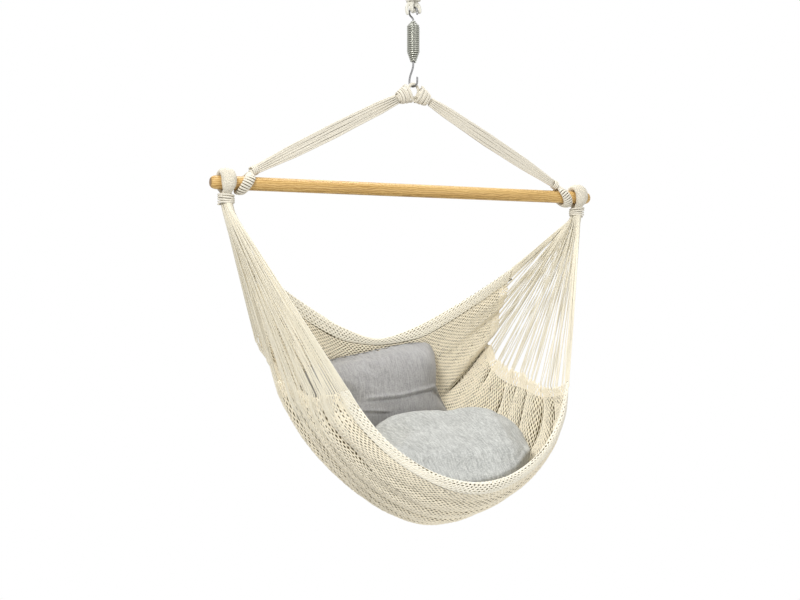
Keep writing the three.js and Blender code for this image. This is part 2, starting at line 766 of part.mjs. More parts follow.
function loopGeometry(side) {
  const wrap = THREE.MathUtils.degToRad(loopWrap);
  const points = [];
  const sizes = [];
  const add = (y, z, body) => {
    points.push(new THREE.Vector3(side * loopAcross, y, z));
    sizes.push([
      neckLegWidth + (loopWidth - neckLegWidth) * body,
      neckLegThick + (loopThick - neckLegThick) * body,
    ]);
  };
  const legOff = (neckLegThick + seatGap) / 2;
  const shinZ = neckZ + (neckTurns * neckPitch) / 2 + neckCord;
  add(legOff, neckZ, 0);
  add(legOff, shinZ, 0);
  for (let i = 0; i <= wrapSteps; i++) {
    const angle = -wrap + ((Math.PI + 2 * wrap) * i) / wrapSteps;
    const body = smooth((Math.PI / 2 + wrap - Math.abs(angle - Math.PI / 2)) / wrap);
    const radius = barRadius + seatGap + (neckLegThick + (loopThick - neckLegThick) * body) / 2;
    add(radius * Math.cos(angle), barZ + radius * Math.sin(angle), body);
  }
  add(-legOff, shinZ, 0);
  add(-legOff, neckZ, 0);
  return sweep(points, wireSides, (share) => sizes[Math.round(share * (sizes.length - 1))], acrossAxis);
}

for (const [word, side] of sides) {
  addPiece(`hammock_loop_${word}`, loopGeometry(side), cotton);
  const radius = neckWidth / 2 + neckCord / 2 + flatLoss(neckWidth / 2, turnSteps);
  const start = new THREE.Vector3(loopAcross, 0, neckZ + (neckTurns * neckPitch) / 2);
  const points = windingPoints(start, down, acrossAxis, neckTurns, neckPitch, turnSteps, () => radius);
  if (side > 0) console.log('neck_whipping least gap', leastGap(points, turnSteps, neckCord).toFixed(2));
  const route = mirrored(withStraightEnds(points, neckCord), side);
  addPiece(`neck_whipping_${word}`, roundTube(route, neckCord, cordSides, down), cotton);
}

// Seat surface: across runs from -1 to 1, along from 0 at the front edge to 1 at the back edge
function seatRow(along) {
  const last = seatCordShares.length - 2;
  let i = 0;
  while (i < last && seatCordShares[i + 1][0] < along) i++;
  const slopeAt = (k, column) => {
    const low = seatCordShares[Math.max(k - 1, 0)];
    const high = seatCordShares[Math.min(k + 1, seatCordShares.length - 1)];
    return (high[column] - low[column]) / (high[0] - low[0]);
  };
  const [from, to] = [seatCordShares[i], seatCordShares[i + 1]];
  const span = to[0] - from[0];
  const t = (along - from[0]) / span;
  return from.map((value, column) => {
    const rise = (1 + 2 * t) * (1 - t) ** 2 * value + t * t * (3 - 2 * t) * to[column];
    const bend = t * (1 - t) ** 2 * slopeAt(i, column) - t * t * (1 - t) * slopeAt(i + 1, column);
    return rise + span * bend;
  });
}

// How far the cords have climbed from the middle of the seat towards its end
function climbAt(across, power) {
  const rise = (share) => (share ** 2 + middleRoundShare ** 2) ** (power / 2);
  return (rise(across) - rise(0)) / (rise(1) - rise(0));
}

function surfacePoint(across, along) {
  const [, endAcross, endDepth, endDrop, midDepth, midDrop, bulge, power] = seatRow(along);
  const climb = climbAt(across, power);
  return new THREE.Vector3(
    seatHalfWidth * endAcross * (across + bulge * (across - across ** 3)),
    seatDepth * (midDepth + (endDepth - midDepth) * climb),
    barZ - seatDrop * (midDrop + (endDrop - midDrop) * climb),
  );
}

// The net lies between the two bands, measured along the surface; along is its share from band to band
function seatLine(across) {
  const points = [];
  const lengths = [0];
  for (let i = 0; i <= lineSamples; i++) points.push(surfacePoint(across, i / lineSamples));
  for (let i = 1; i <= lineSamples; i++) lengths.push(lengths[i - 1] + points[i].distanceTo(points[i - 1]));
  const total = lengths[lineSamples];
  const at = (length) => {
    let i = 1;
    while (i < lineSamples && lengths[i] < length) i++;
    const t = (length - lengths[i - 1]) / (lengths[i] - lengths[i - 1]);
    return points[i - 1].clone().lerp(points[i], t);
  };
  return { at, total };
}

function backWidthAt(across) {
  const open = smooth(Math.abs(across) / backBandWaistReachShare);
  return backBandWidth * (1 - backBandWaistShare * (1 - open));
}

function netPoint(across, along) {
  const line = seatLine(across);
  const from = frontBandWidth + netBandGap;
  const to = line.total - backWidthAt(across) - netBandGap;
  return line.at(from + (to - from) * along);
}

function netNormal(across, along) {
  const a = THREE.MathUtils.clamp(across, -1 + probeShare, 1 - probeShare);
  const b = THREE.MathUtils.clamp(along, probeShare, 1 - probeShare);
  const acrossWay = netPoint(a + probeShare, b).sub(netPoint(a - probeShare, b));
  const alongWay = netPoint(a, b + probeShare).sub(netPoint(a, b - probeShare));
  return acrossWay.cross(alongWay).normalize();
}

// Folds that gather the net towards its ends
function foldedPoint(across, along) {
  const depth = foldHeight * smooth((Math.abs(across) - foldStartShare) / (1 - foldStartShare));
  const calm = smooth(along * foldCount) * smooth((1 - along) * foldCount);
  const wave = Math.sin(2 * Math.PI * foldCount * along);
  return netPoint(across, along).addScaledVector(netNormal(across, along), depth * wave * calm);
}

function netGeometry() {
  const columns = netColumns;
  const rows = netRows;
  const positions = [];
  const indices = [];
  const layer = (columns + 1) * (rows + 1);
  for (const face of [1, -1]) {
    for (let i = 0; i <= columns; i++) {
      for (let j = 0; j <= rows; j++) {
        const across = (2 * i) / columns - 1;
        const along = j / rows;
        const point = foldedPoint(across, along);
        point.addScaledVector(netNormal(across, along), (face * netThick) / 2);
        positions.push(point.x, point.y, point.z);
      }
    }
  }
  const at = (i, j, face) => face * layer + i * (rows + 1) + j;
  const quad = (a, b, c, d) => indices.push(a, b, c, a, c, d);
  for (let i = 0; i < columns; i++) {
    for (let j = 0; j < rows; j++) {
      quad(at(i, j, 0), at(i + 1, j, 0), at(i + 1, j + 1, 0), at(i, j + 1, 0));
      quad(at(i, j, 1), at(i, j + 1, 1), at(i + 1, j + 1, 1), at(i + 1, j, 1));
    }
    quad(at(i, 0, 0), at(i, 0, 1), at(i + 1, 0, 1), at(i + 1, 0, 0));
    quad(at(i, rows, 0), at(i + 1, rows, 0), at(i + 1, rows, 1), at(i, rows, 1));
  }
  for (let j = 0; j < rows; j++) {
    quad(at(0, j, 0), at(0, j + 1, 0), at(0, j + 1, 1), at(0, j, 1));
    quad(at(columns, j, 0), at(columns, j, 1), at(columns, j + 1, 1), at(columns, j + 1, 0));
  }
  return closedGeometry(positions, indices);
}

addPiece('seat_net', netGeometry(), cotton);

// Bands along the front and the back edge, rolled from the net's own cords
function bandGeometry(widthAt, thick, front) {
  const rings = [];
  for (let i = 0; i <= netColumns; i++) {
    const across = (2 * i) / netColumns - 1;
    const line = seatLine(across);
    const width = widthAt(across);
    const outer = line.at(front ? 0 : line.total);
    const inner = line.at(front ? width : line.total - width);
    const middle = outer.clone().lerp(inner, 0.5);
    const widthWay = inner.clone().sub(outer).normalize();
    const thickWay = netNormal(across, front ? 0 : 1);
    thickWay.addScaledVector(widthWay, -thickWay.dot(widthWay)).normalize();
    const endShare = (Math.abs(across) - bandTaperStartShare) / (1 - bandTaperStartShare);
    const taper = 1 - bandTaperShare * smooth(endShare);
    const ring = [];
    for (let j = 0; j < wireSides; j++) {
      const angle = (j / wireSides) * 2 * Math.PI;
      ring.push(middle.clone()
        .addScaledVector(widthWay, (Math.cos(angle) * width) / 2)
        .addScaledVector(thickWay, (Math.sin(angle) * thick * taper) / 2));
    }
    rings.push(ring);
  }
  return ringStack(rings);
}

addPiece('front_band', bandGeometry(() => frontBandWidth, frontBandThick, true), cotton);
addPiece('back_band', bandGeometry(backWidthAt, backBandThick, false), cotton);

// Arm strings: from the neck to the end of the net, gathered in a root below the loop
function armGeometry(side) {
  const rootTop = new THREE.Vector3(side * loopAcross, 0, neckZ - seatGap);
  const rootRadius = neckWidth / 2;
  const rootRings = armRootShares.map((share) => {
    const middle = rootTop.clone();
    middle.z -= armRootLength * share;
    middle.x -= side * armRootLength * share * share * armRootLeanShare;
    const radius = rootRadius * (1 - armRootTaperShare * share);
    return arcPoints(middle, acrossAxis, depthAxis, radius, 0, 2 * Math.PI, coneSides).slice(1);
  });
  const pieces = [ringStack(rootRings)];
  const rootFoot = rootTop.clone();
  rootFoot.z -= armRootLength * armRootFootShare;
  const line = seatLine(side);
  const ends = [];
  for (let k = 0; k < bandStringCount; k++) {
    ends.push(line.at((frontBandWidth * (k + 0.5)) / bandStringCount));
  }
  for (let k = 0; k < armStringCount; k++) ends.push(foldedPoint(side, (k + 0.5) / armStringCount));
  for (let k = 0; k < bandStringCount; k++) {
    ends.push(line.at(line.total - backBandWidth * (1 - (k + 0.5) / bandStringCount)));
  }
  ends.forEach((end, k) => {
    const start = rootFoot.clone();
    const turn = ((k + 0.5) / ends.length) * Math.PI;
    start.y -= Math.cos(turn) * rootRadius * armRootDepthShare;
    start.x -= side * Math.sin(turn) * rootRadius * armRootAcrossShare;
    const way = end.clone().sub(start).normalize();
    end.addScaledVector(way, -armStringStandOff);
    pieces.push(roundTube([start, end], armStringDiameter, stringSides, acrossAxis));
  });
  return joined(pieces);
}

for (const [word, side] of sides) addPiece(`arm_strings_${word}`, armGeometry(side), cotton);

// Cushions: closed pillows whose underside follows the net
function pillowGeometry(cushion, placeAt, liftAt, wayAt) {
  const turns = cushionTurns;
  const shares = cushionRingShares;
  const power = cushion.squareness;
  const outlineAt = (angle) => {
    const reach = (Math.abs(Math.cos(angle)) ** power + Math.abs(Math.sin(angle)) ** power) ** (-1 / power);
    return reach * (1 - cushion.drawInShare * Math.cos(2 * angle) ** 2);
  };
  const ringAt = (share, top) => {
    const ring = [];
    for (let j = 0; j < turns; j++) {
      const angle = (j / turns) * 2 * Math.PI;
      const reach = share * outlineAt(angle);
      const [across, along] = placeAt(reach * Math.cos(angle), reach * Math.sin(angle));
      const base = foldedPoint(across, along);
      base.addScaledVector(netNormal(across, along), netThick / 2 + cushionGap);
      if (cushion.mostBelowTop) base.z = Math.max(base.z, seatLevel(base) - cushion.mostBelowTop);
      if (top) base.addScaledVector(wayAt(across, along), liftAt(base, share));
      ring.push(base);
    }
    return ring;
  };
  const rings = shares.map((share) => ringAt(share, false));
  const lower = rings[rings.length - 1];
  const upper = ringAt(1, true);
  const middle = lower[0].clone().add(lower[turns / 2]).multiplyScalar(0.5);
  const edge = lower.map((point, j) => {
    const half = point.clone().add(upper[j]).multiplyScalar(0.5);
    const outward = half.clone().sub(middle).setLength(cushionBulge);
    const lift = upper[j].clone().sub(point).normalize();
    outward.addScaledVector(lift, -outward.dot(lift));
    return half.add(outward);
  });
  rings.push(edge, upper);
  for (const share of shares.slice(0, -1).reverse()) rings.push(ringAt(share, true));
  return ringStack(rings);
}

const seatLevel = (point) => {
  const lowest = barZ - seatDrop;
  return lowest + seatCushion.topRise + seatCushion.topSlope * (point.y + seatCushion.topMiddle);
};
const seatPlace = (sideways, backwards) => [
  seatCushion.acrossShare + seatCushion.halfAcrossShare * sideways + seatCushion.leanShare * backwards,
  seatCushion.alongShare + seatCushion.halfAlongShare * backwards,
];
const seatLift = (base, share) => {
  const { edgeThick, crown, crownPower } = seatCushion;
  const room = Math.max(seatLevel(base) - base.z, edgeThick) + crown;
  return edgeThick + (room - edgeThick) * Math.sqrt(1 - share ** crownPower);
};

// The net's share at which the straight top edge of the back cushion crosses one of its lines
function backTopAt(across) {
  const level = surfacePoint(0, 1).z - backCushion.topBelowRim;
  let [low, high] = [0.5, 1];
  for (let i = 0; i < bisections; i++) {
    const along = (low + high) / 2;
    const point = netPoint(across, along);
    if (point.z < level + backCushion.topTilt * point.x) low = along;
    else high = along;
  }
  return low;
}

const backPlace = (sideways, upwards) => {
  const { acrossShare, halfAcrossShare, leanShare, heightShare } = backCushion;
  const across = acrossShare + halfAcrossShare * sideways - leanShare * upwards;
  return [across, backTopAt(across) - (heightShare * (1 - upwards)) / 2];
};
const backLift = (base, share) => (
  backCushion.edgeThick + backCushion.crown * Math.sqrt(1 - share ** backCushion.crownPower)
);

addPiece('seat_cushion', pillowGeometry(seatCushion, seatPlace, seatLift, () => up), lightGrey);
addPiece('back_cushion', pillowGeometry(backCushion, backPlace, backLift, netNormal), midGrey);

console.log('triangles', Object.values(counts).reduce((sum, n) => sum + n, 0), JSON.stringify(counts));

export default chair;
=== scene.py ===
import math

import bpy
import bmesh
import numpy as np
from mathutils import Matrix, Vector


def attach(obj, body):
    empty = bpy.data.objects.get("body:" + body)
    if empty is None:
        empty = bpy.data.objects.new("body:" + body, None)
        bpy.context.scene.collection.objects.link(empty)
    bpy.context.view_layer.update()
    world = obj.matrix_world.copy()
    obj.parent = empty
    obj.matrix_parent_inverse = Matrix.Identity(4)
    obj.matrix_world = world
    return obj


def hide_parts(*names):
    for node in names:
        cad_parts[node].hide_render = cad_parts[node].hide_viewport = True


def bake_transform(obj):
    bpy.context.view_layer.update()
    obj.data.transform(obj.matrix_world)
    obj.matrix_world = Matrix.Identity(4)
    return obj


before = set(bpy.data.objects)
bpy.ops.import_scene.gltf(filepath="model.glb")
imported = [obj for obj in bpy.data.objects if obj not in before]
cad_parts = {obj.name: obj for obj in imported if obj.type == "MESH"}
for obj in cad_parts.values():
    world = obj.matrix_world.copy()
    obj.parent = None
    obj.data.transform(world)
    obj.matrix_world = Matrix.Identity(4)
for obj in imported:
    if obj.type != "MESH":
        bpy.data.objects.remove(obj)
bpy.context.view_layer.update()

# A hammock chair: a net of cotton cord with two cushions, hung by cords from an oak spreader bar,
# which hangs by two cord bundles, hooks and a spring from a rope on a ceiling eye.
# Metres, +Z up, +X along the bar, the front of the seat towards -Y, the origin on the ceiling.
draws = np.random.default_rng(7)
scene = bpy.context.scene

# Camera: level, 25 degrees round to the left of the front
camera_place = (-1.3592, -2.8319, -0.880)
camera_turn = math.radians(-25)
camera_data = bpy.data.cameras.new("view")
camera_data.sensor_width = 36
camera_data.lens = 53.64
camera = bpy.data.objects.new("view", camera_data)
camera.location = camera_place
camera.rotation_euler = (math.radians(90), 0, camera_turn)
scene.collection.objects.link(camera)
scene.camera = camera

# Sizes, in metres, the same as the solids have
up = np.array([0.0, 0.0, 1.0])
across_axis = np.array([1.0, 0.0, 0.0])
depth_axis = np.array([0.0, 1.0, 0.0])
hook_angle = math.radians(-60)
hook_side = np.array([math.cos(hook_angle), math.sin(hook_angle), 0.0])
hook_cross = np.array([-math.sin(hook_angle), math.cos(hook_angle), 0.0])
seat_gap = 0.0004
winding_gap = 0.0005

eye_wire = 0.008
eye_drop = 0.044
rope_diameter = 0.013
rope_waist = 0.0071
hitch_cord = 0.009
hitch_turns = 2
plies = 3
ply_share = 0.53
rope_lay = 0.034
hitch_lay = 0.024
hook_wire = 0.005
hook_bend_radius = 0.0125
hook_head_radius = 0.007
hook_head_height = 0.004
hook_head_bevel = 0.0009
hook_tip_share = 0.6
upper_hook_top = 0.109
upper_hook_tip_drop = 0.009
lower_hook_tip_rise = 0.013
spring_top = 0.145
spring_outer_diameter = 0.034
spring_wire = 0.0048
spring_turns = 20
spring_top_taper_turns = 2.5
spring_bottom_taper_turns = 5
eye_strand_top = 0.311
eye_strand_diameter = 0.008
eye_ring_height = 0.036
eye_ring_width = 0.029
apex_start = 0.0165
apex_length = 0.0306
apex_inner_radius = 0.024
apex_outer_radius = 0.0145
apex_flat_share = 0.8
apex_turns = 8
apex_cord = 0.0042
suspension_cord = 0.0044
suspension_count = 19
suspension_end_radius = 0.006
suspension_layer_half = 0.0021
suspension_stagger = 0.0026
suspension_wander = 0.0007
collar_inset = 0.112
collar_rise = 0.033
collar_cord = 0.0042
collar_turns = 3
collar_radius = 0.0109
bar_drop = 0.592
bar_length = 1.1
bar_radius = 0.017
bar_taper = 0.015
sleeve_inset = 0.075
sleeve_width = 0.024
sleeve_thick = 0.012
sleeve_leg_width = 0.014
sleeve_leg_thick = 0.0072
sleeve_wrap = math.radians(128)
loop_inset = 0.040
loop_width = 0.039
loop_thick = 0.020
loop_wrap = math.radians(63)
neck_drop = 0.041
neck_width = 0.032
neck_cord = 0.0051
neck_turns = 4
arm_root_length = 0.026
seat_half_width = 0.388
seat_depth = 0.610
seat_drop = 0.848
fold_count = 6
fold_height = 0.018
fold_start_share = 0.45
net_band_gap = 0.0008
front_band_width = 0.034
front_band_thick = 0.015
back_band_width = 0.044
back_band_thick = 0.014
back_band_waist_share = 0.55
back_band_waist_reach = 0.42
middle_round = 0.07
bar_z = -bar_drop
collar_across = bar_length / 2 - collar_inset
collar_drop = bar_drop - collar_rise
sleeve_across = bar_length / 2 - sleeve_inset
loop_across = bar_length / 2 - loop_inset

# Courses of the seat's cords, as shares of the seat's sizes: place between the edges,
# across, depth and drop of the end, depth and drop of the middle, bulge and power of the climb
seat_courses = np.array([
    [0.0, 0.773, -0.459, 0.585, -0.623, 0.844, 0.2, 1.92],
    [0.12, 0.814, -0.352, 0.601, -0.6, 0.878, 0.5, 1.65],
    [0.27, 0.855, -0.178, 0.605, -0.431, 0.949, 0.355, 1.94],
    [0.42, 0.871, -0.036, 0.577, -0.2, 1.004, 0.195, 1.86],
    [0.57, 0.904, 0.138, 0.566, 0.064, 0.974, 0.157, 1.91],
    [0.71, 0.91, 0.246, 0.546, 0.262, 0.855, 0.03, 1.83],
    [0.85, 0.928, 0.352, 0.469, 0.369, 0.68, 0.0, 1.57],
    [1.0, 1.0, 0.246, 0.231, 0.377, 0.466, 0.0, 1.36],
])


# Vectors and paths
def unit(v):
    return v / np.maximum(np.linalg.norm(v, axis=-1, keepdims=True), 1e-12)


def smooth(share):
    t = np.clip(share, 0, 1)
    return t * t * (3 - 2 * t)


def between(first, second, share):
    return first + (second - first) * share


def square_to(vectors, way):
    """Unit vectors along what is left of the vectors square to a way."""
    return unit(vectors - way * (vectors * way).sum(axis=1, keepdims=True))


def mirrored(path, side):
    return path * np.array([side, 1, 1])


def arc(middle, first, second, radius, start, end, steps):
    angle = np.linspace(start, end, steps + 1)[:, None]
    return middle + radius * (np.cos(angle) * first + np.sin(angle) * second)


def lengths_of(path):
    """Lengths along a path from its start, or along each of several paths."""
    steps = np.linalg.norm(np.diff(path, axis=-2), axis=-1)
    return np.concatenate([np.zeros((*steps.shape[:-1], 1)), np.cumsum(steps, axis=-1)], axis=-1)


def sampled(values, at, to):
    return np.stack([np.interp(to, at, column) for column in values.T], axis=1)


def resampled(path, count):
    at = lengths_of(path)
    return sampled(path, at, np.linspace(0, at[-1], count))


def rounded(path, passes):
    for _ in range(passes):
        inner = (path[:-2] + 2 * path[1:-1] + path[2:]) / 4
        path = np.concatenate([path[:1], inner, path[-1:]])
    return path


def frames_along(path, hint=None, closed=False):
    if closed:
        along = np.roll(path, -1, axis=0) - np.roll(path, 1, axis=0)
    else:
        along = np.gradient(path, axis=0)
    along = unit(along)
    if hint is None:
        side = np.empty_like(path)
        before = np.cross(along[0], up if abs(along[0][2]) < 0.9 else across_axis)
        for i, way in enumerate(along):
            before = unit(before - way * before.dot(way))
            side[i] = before
    else:
        side = square_to(np.broadcast_to(np.asarray(hint, float), path.shape), along)
    return along, side, np.cross(along, side)


def placed(name, data):
    obj = bpy.data.objects.new(name, data)
    scene.collection.objects.link(obj)
    return obj


def smooth_shaded(obj):
    obj.data.polygons.foreach_set("use_smooth", [True] * len(obj.data.polygons))
    return obj


def mesh_object(name, points, faces):
    mesh = bpy.data.meshes.new(name)
    mesh.from_pydata(points.tolist(), [], faces)
    mesh.update()
    return smooth_shaded(placed(name, mesh))


def only_selected(*objects):
    """Selects nothing but these; the last one is the active one."""
    bpy.ops.object.select_all(action="DESELECT")
    for obj in objects:
        obj.select_set(True)
        bpy.context.view_layer.objects.active = obj


class CordMesh:
    """Tubes along paths in one mesh, with the length along each cord and the turn round it as UV."""

    def __init__(self):
        self.points, self.faces, self.uvs, self.total = [], [], [], 0

    def tube(self, path, radius, sides=6, hint=None, closed=False, flat=1.0):
        along, side, other = frames_along(path, hint, closed)
        count = len(path)
        radius = np.broadcast_to(np.asarray(radius, float), (count,))
        flat = np.broadcast_to(np.asarray(flat, float), (count,))
        angle = (np.arange(sides) + 0.5) / sides * 2 * math.pi
        wide = (radius[:, None] * np.cos(angle))[:, :, None] * side[:, None, :]
        thick = ((radius * flat)[:, None] * np.sin(angle))[:, :, None] * other[:, None, :]
        self.points.append((path[:, None, :] + wide + thick).reshape(-1, 3))
        at = lengths_of(path)
        rows = count if closed else count - 1
        i = np.repeat(np.arange(rows), sides)
        j = np.tile(np.arange(sides), rows)
        row, after, beside = i * sides, (i + 1) % count * sides, (j + 1) % sides
        base = self.total
        quads = np.stack([row + j, row + beside, after + beside, after + j], axis=1)
        self.faces.extend((quads + base).tolist())
        end_at = np.where(i + 1 < count, at[np.minimum(i + 1, count - 1)], at[-1] + at[1])
        u = np.stack([at[i], at[i], end_at, end_at], axis=1)
        v = np.stack([j, j + 1, j + 1, j], axis=1) / sides
        self.uvs.append(np.stack([u, v], axis=2).reshape(-1, 2))
        if not closed:
            self.faces.append([base + k for k in reversed(range(sides))])
            self.faces.append([base + (count - 1) * sides + k for k in range(sides)])
            self.uvs.append(np.zeros((2 * sides, 2)))
        self.total += count * sides
        return self

    def made(self, name):
        obj = mesh_object(name, np.concatenate(self.points), self.faces)
        layer = obj.data.uv_layers.new(name="cord")
        layer.data.foreach_set("uv", np.concatenate(self.uvs).astype(np.float32).ravel())
        return obj


def finished(obj, body, look, slot, *nodes):
    obj.data.materials.clear()
    obj.data.materials.append(look)
    if nodes:
        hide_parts(*nodes)
    if body:
        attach(obj, body)
    return obj


def cotton_piece(obj, body, look, *nodes):
    return finished(obj, body, look, "cotton_cord", *nodes)


def coiled(turns, first, second, steps=28):
    """Shares of a coil's turns, its angles, and its ways out of its axis."""
    share = np.linspace(0, 1, turns * steps + 1)
    angle = share * turns * 2 * math.pi
    return share, angle, np.outer(np.cos(angle), first) + np.outer(np.sin(angle), second)


def winding(path, pitch, wide, thick, hint, steps):
    """Turns round a path of oval section, with the outward way at each point."""
    at = lengths_of(path)
    turns = at[-1] / pitch
    share = np.linspace(0, 1, int(turns * steps) + 1)
    _, side, other = frames_along(path, hint)
    centre, side, other = (sampled(values, at, share * at[-1]) for values in (path, side, other))
    side, other = unit(side), unit(other)
    angle = (share * turns)[:, None] * 2 * math.pi
    wide, thick = (np.interp(share, np.linspace(0, 1, len(half)), half)[:, None] for half in (wide, thick))
    out = np.cos(angle) * side * wide + np.sin(angle) * other * thick
    return centre + out, unit(np.cos(angle) * side / wide + np.sin(angle) * other / thick)


# Materials
def math_node(operation, swapped=False):
    def work(self, *others):
        values = (*others, self) if swapped else (self, *others)
        return self.look.node("ShaderNodeMath", {"operation": operation}, dict(enumerate(values)))

    return work


class Value:
    """A socket that Python's own operators work on."""

    def __init__(self, look, socket):
        self.look, self.socket = look, socket

    __add__ = __radd__ = math_node("ADD")
    __mul__ = __rmul__ = math_node("MULTIPLY")
    __sub__, __rsub__ = math_node("SUBTRACT"), math_node("SUBTRACT", swapped=True)
    __truediv__, __pow__ = math_node("DIVIDE"), math_node("POWER")
    sine, size = math_node("SINE"), math_node("ABSOLUTE")

    def ranged(self, low, high):
        settings = {"clamp": True, "interpolation_type": "SMOOTHSTEP"}
        return self.look.node("ShaderNodeMapRange", settings, {0: self, 1: low, 2: high, 3: 0.0, 4: 1.0})


class Look:
    """One material, whose nodes all come from node()."""

    def __init__(self, name, roughness, metallic=0.0, **plain):
        self.material = bpy.data.materials.new(name)
        self.material.use_nodes = True
        self.tree = self.material.node_tree
        self.shader = next(n for n in self.tree.nodes if n.type == "BSDF_PRINCIPLED")
        self.shader.inputs["Roughness"].default_value = roughness
        self.shader.inputs["Metallic"].default_value = metallic
        for socket, value in plain.items():
            self.shader.inputs[socket.replace("_", " ")].default_value = value

    def put(self, socket, value):
        if isinstance(value, Value):
            self.tree.links.new(value.socket, socket)
        else:
            socket.default_value = value

    def node(self, kind, settings=None, inputs=None, output=0):
        made = self.tree.nodes.new(kind)
        for key, value in (settings or {}).items():
            if key == "stops":
                ramp = made.color_ramp
                while len(ramp.elements) < len(value):
                    ramp.elements.new(0.5)
                for element, (place, color) in zip(ramp.elements, value):
                    element.position, element.color = place, (*color, 1)
            else:
                setattr(made, key, value)
        for key, value in (inputs or {}).items():
            self.put(made.inputs[key], value)
        return Value(self, made.outputs[output])

    def place(self):
        return self.node("ShaderNodeTexCoord", output="Object")

    def along_cord(self):
        uv = self.node("ShaderNodeUVMap", {"uv_map": "cord"})
        return self.part(uv, 0), self.part(uv, 1)

    def part(self, vector, which):
        return self.node("ShaderNodeSeparateXYZ", inputs={0: vector}, output=which)

    def scaled(self, vector, scale, turn=(0, 0, 0)):
        return self.node("ShaderNodeMapping", inputs={"Vector": vector, "Rotation": turn, "Scale": scale})

    def noise(self, vector, scale, detail=3.0, roughness=0.5):
        inputs = {"Vector": vector, "Scale": scale, "Detail": detail, "Roughness": roughness}
        return self.node("ShaderNodeTexNoise", inputs=inputs)

    def ramp(self, value, stops):
        return self.node("ShaderNodeValToRGB", {"stops": stops}, {0: value})

    def mixed(self, share, first, second):
        made = self.tree.nodes.new("ShaderNodeMix")
        made.data_type = "RGBA"
        colors = [s for s in made.inputs if s.type == "RGBA"]
        self.put(made.inputs[0], share)
        for socket, color in zip(colors, (first, second)):
            self.put(socket, color if isinstance(color, Value) else (*color, 1))
        return Value(self, next(s for s in made.outputs if s.type == "RGBA"))

    def bump(self, height, distance, strength=1.0, normal=None):
        inputs = {"Height": height, "Distance": distance, "Strength": strength}
        if normal is not None:
            inputs["Normal"] = normal
        return self.node("ShaderNodeBump", inputs=inputs)

    def surface(self, **links):
        for socket, value in links.items():
            self.put(self.shader.inputs[socket.replace("_", " ")], value)
        return self.material


def cotton_look(name, plies, twist, light, shade, depth, contrast=0.8):
    """Twisted cotton: plies that wind round the cord, with painted shade that makes the grooves between them
    a little darker.
    """
    look = Look(name, 0.9, Sheen_Weight=0.15, Sheen_Roughness=0.5, Specular_IOR_Level=0.2)
    along, turn = look.along_cord()
    groove = ((along / twist + turn * plies) * math.pi).sine().size()
    place = look.place()
    fibre = look.noise(place, 900.0, 2.0)
    tone = look.noise(place, 14.0, 3.0)
    deep = look.mixed(tone, shade, [0.5 * (a + b) for a, b in zip(shade, light)])
    # Painted shade: the colour goes darker in the grooves between the plies.
    color = look.mixed((groove ** 0.7) * contrast + (1 - contrast) * 0.8 + fibre * 0.16, deep, light)
    normal = look.bump(groove, depth, 0.8, look.bump(fibre, depth * 0.35, 0.5))
    return look.surface(Base_Color=color, Normal=normal)


cream, cream_shade = (0.78, 0.735, 0.63), (0.48, 0.42, 0.30)
net_light, net_shade = (0.97, 0.90, 0.735), (0.70, 0.59, 0.37)
net_cotton = cotton_look("net_cotton", 2, 0.010, net_light, net_shade, 0.0004)
band_cotton = cotton_look("band_cotton", 2, 0.009, (0.96, 0.92, 0.80), (0.70, 0.61, 0.41), 0.0004)
string_cotton = cotton_look("string_cotton", 2, 0.008, (0.88, 0.83, 0.69), (0.62, 0.535, 0.36), 0.0001, 0.25)
cord_cotton = cotton_look("cord_cotton", 3, 0.016, cream, cream_shade, 0.0001, 0.15)
wrap_cotton = cotton_look("wrap_cotton", 3, 0.014, (0.82, 0.775, 0.665), cream_shade, 0.0003, 0.4)
rope_cotton = cotton_look("rope_cotton", 3, 0.030, (0.82, 0.80, 0.715), (0.66, 0.63, 0.52), 0.0010)
# Painted shade: a dark cotton colour for sheets and cores under the cords, standing for the shade seen in
# the gaps between them.
painted_shade_cotton = cotton_look("painted_shade_cotton", 2, 0.010, (0.13, 0.10, 0.04), (0.06, 0.045, 0.018), 0.0004)


def steel_look(name, color, roughness):
    look = Look(name, roughness, 1.0)
    place = look.place()
    cloud = look.noise(place, 160.0, 4.0)
    fine = look.noise(place, 1400.0, 2.0)
    tint = look.mixed(cloud, [0.72 * c for c in color], color)
    normal = look.bump(fine, 0.00002, 0.3)
    return look.surface(Base_Color=tint, Roughness=cloud * 0.2 + (roughness - 0.1), Normal=normal)


spring_steel = steel_look("spring_steel", (0.46, 0.465, 0.41), 0.26)
zinc_steel = steel_look("zinc_steel", (0.25, 0.25, 0.25), 0.36)


def oak_look():
    look = Look("oak", 0.5, Coat_Weight=0.12, Coat_Roughness=0.35, Specular_IOR_Level=0.4)
    place = look.place()
    long_grain = look.noise(look.scaled(place, (2.2, 38.0, 38.0)), 1.0, 5.0, 0.6)
    rings = look.node("ShaderNodeTexWave", {"wave_type": "RINGS", "rings_direction": "X"}, {
        "Vector": look.scaled(place, (0.35, 1.0, 1.0), (0.0, 0.03, 0.02)), "Scale": 60.0,
        "Distortion": 7.0, "Detail": 3.0, "Detail Scale": 1.2})
    pores = look.noise(look.scaled(place, (45.0, 900.0, 900.0)), 1.0, 2.0, 0.6)
    pore = pores.ranged(0.60, 0.72)
    grain = look.ramp(long_grain * 0.65 + rings * 0.35, [
        (0.25, (0.40, 0.225, 0.06)), (0.5, (0.60, 0.375, 0.12)), (0.75, (0.75, 0.51, 0.20))])
    grain = look.mixed(pore * 0.55, grain, (0.32, 0.18, 0.06))
    sawn_end = look.part(place, 0).size().ranged(0.5485, 0.5496)
    color = look.mixed(sawn_end * 0.85, grain, (0.20, 0.11, 0.045))
    normal = look.bump(long_grain - pore * 0.6, 0.0004, 0.5)
    return look.surface(Base_Color=color, Roughness=0.42 + pores * 0.2, Normal=normal)


oak = oak_look()


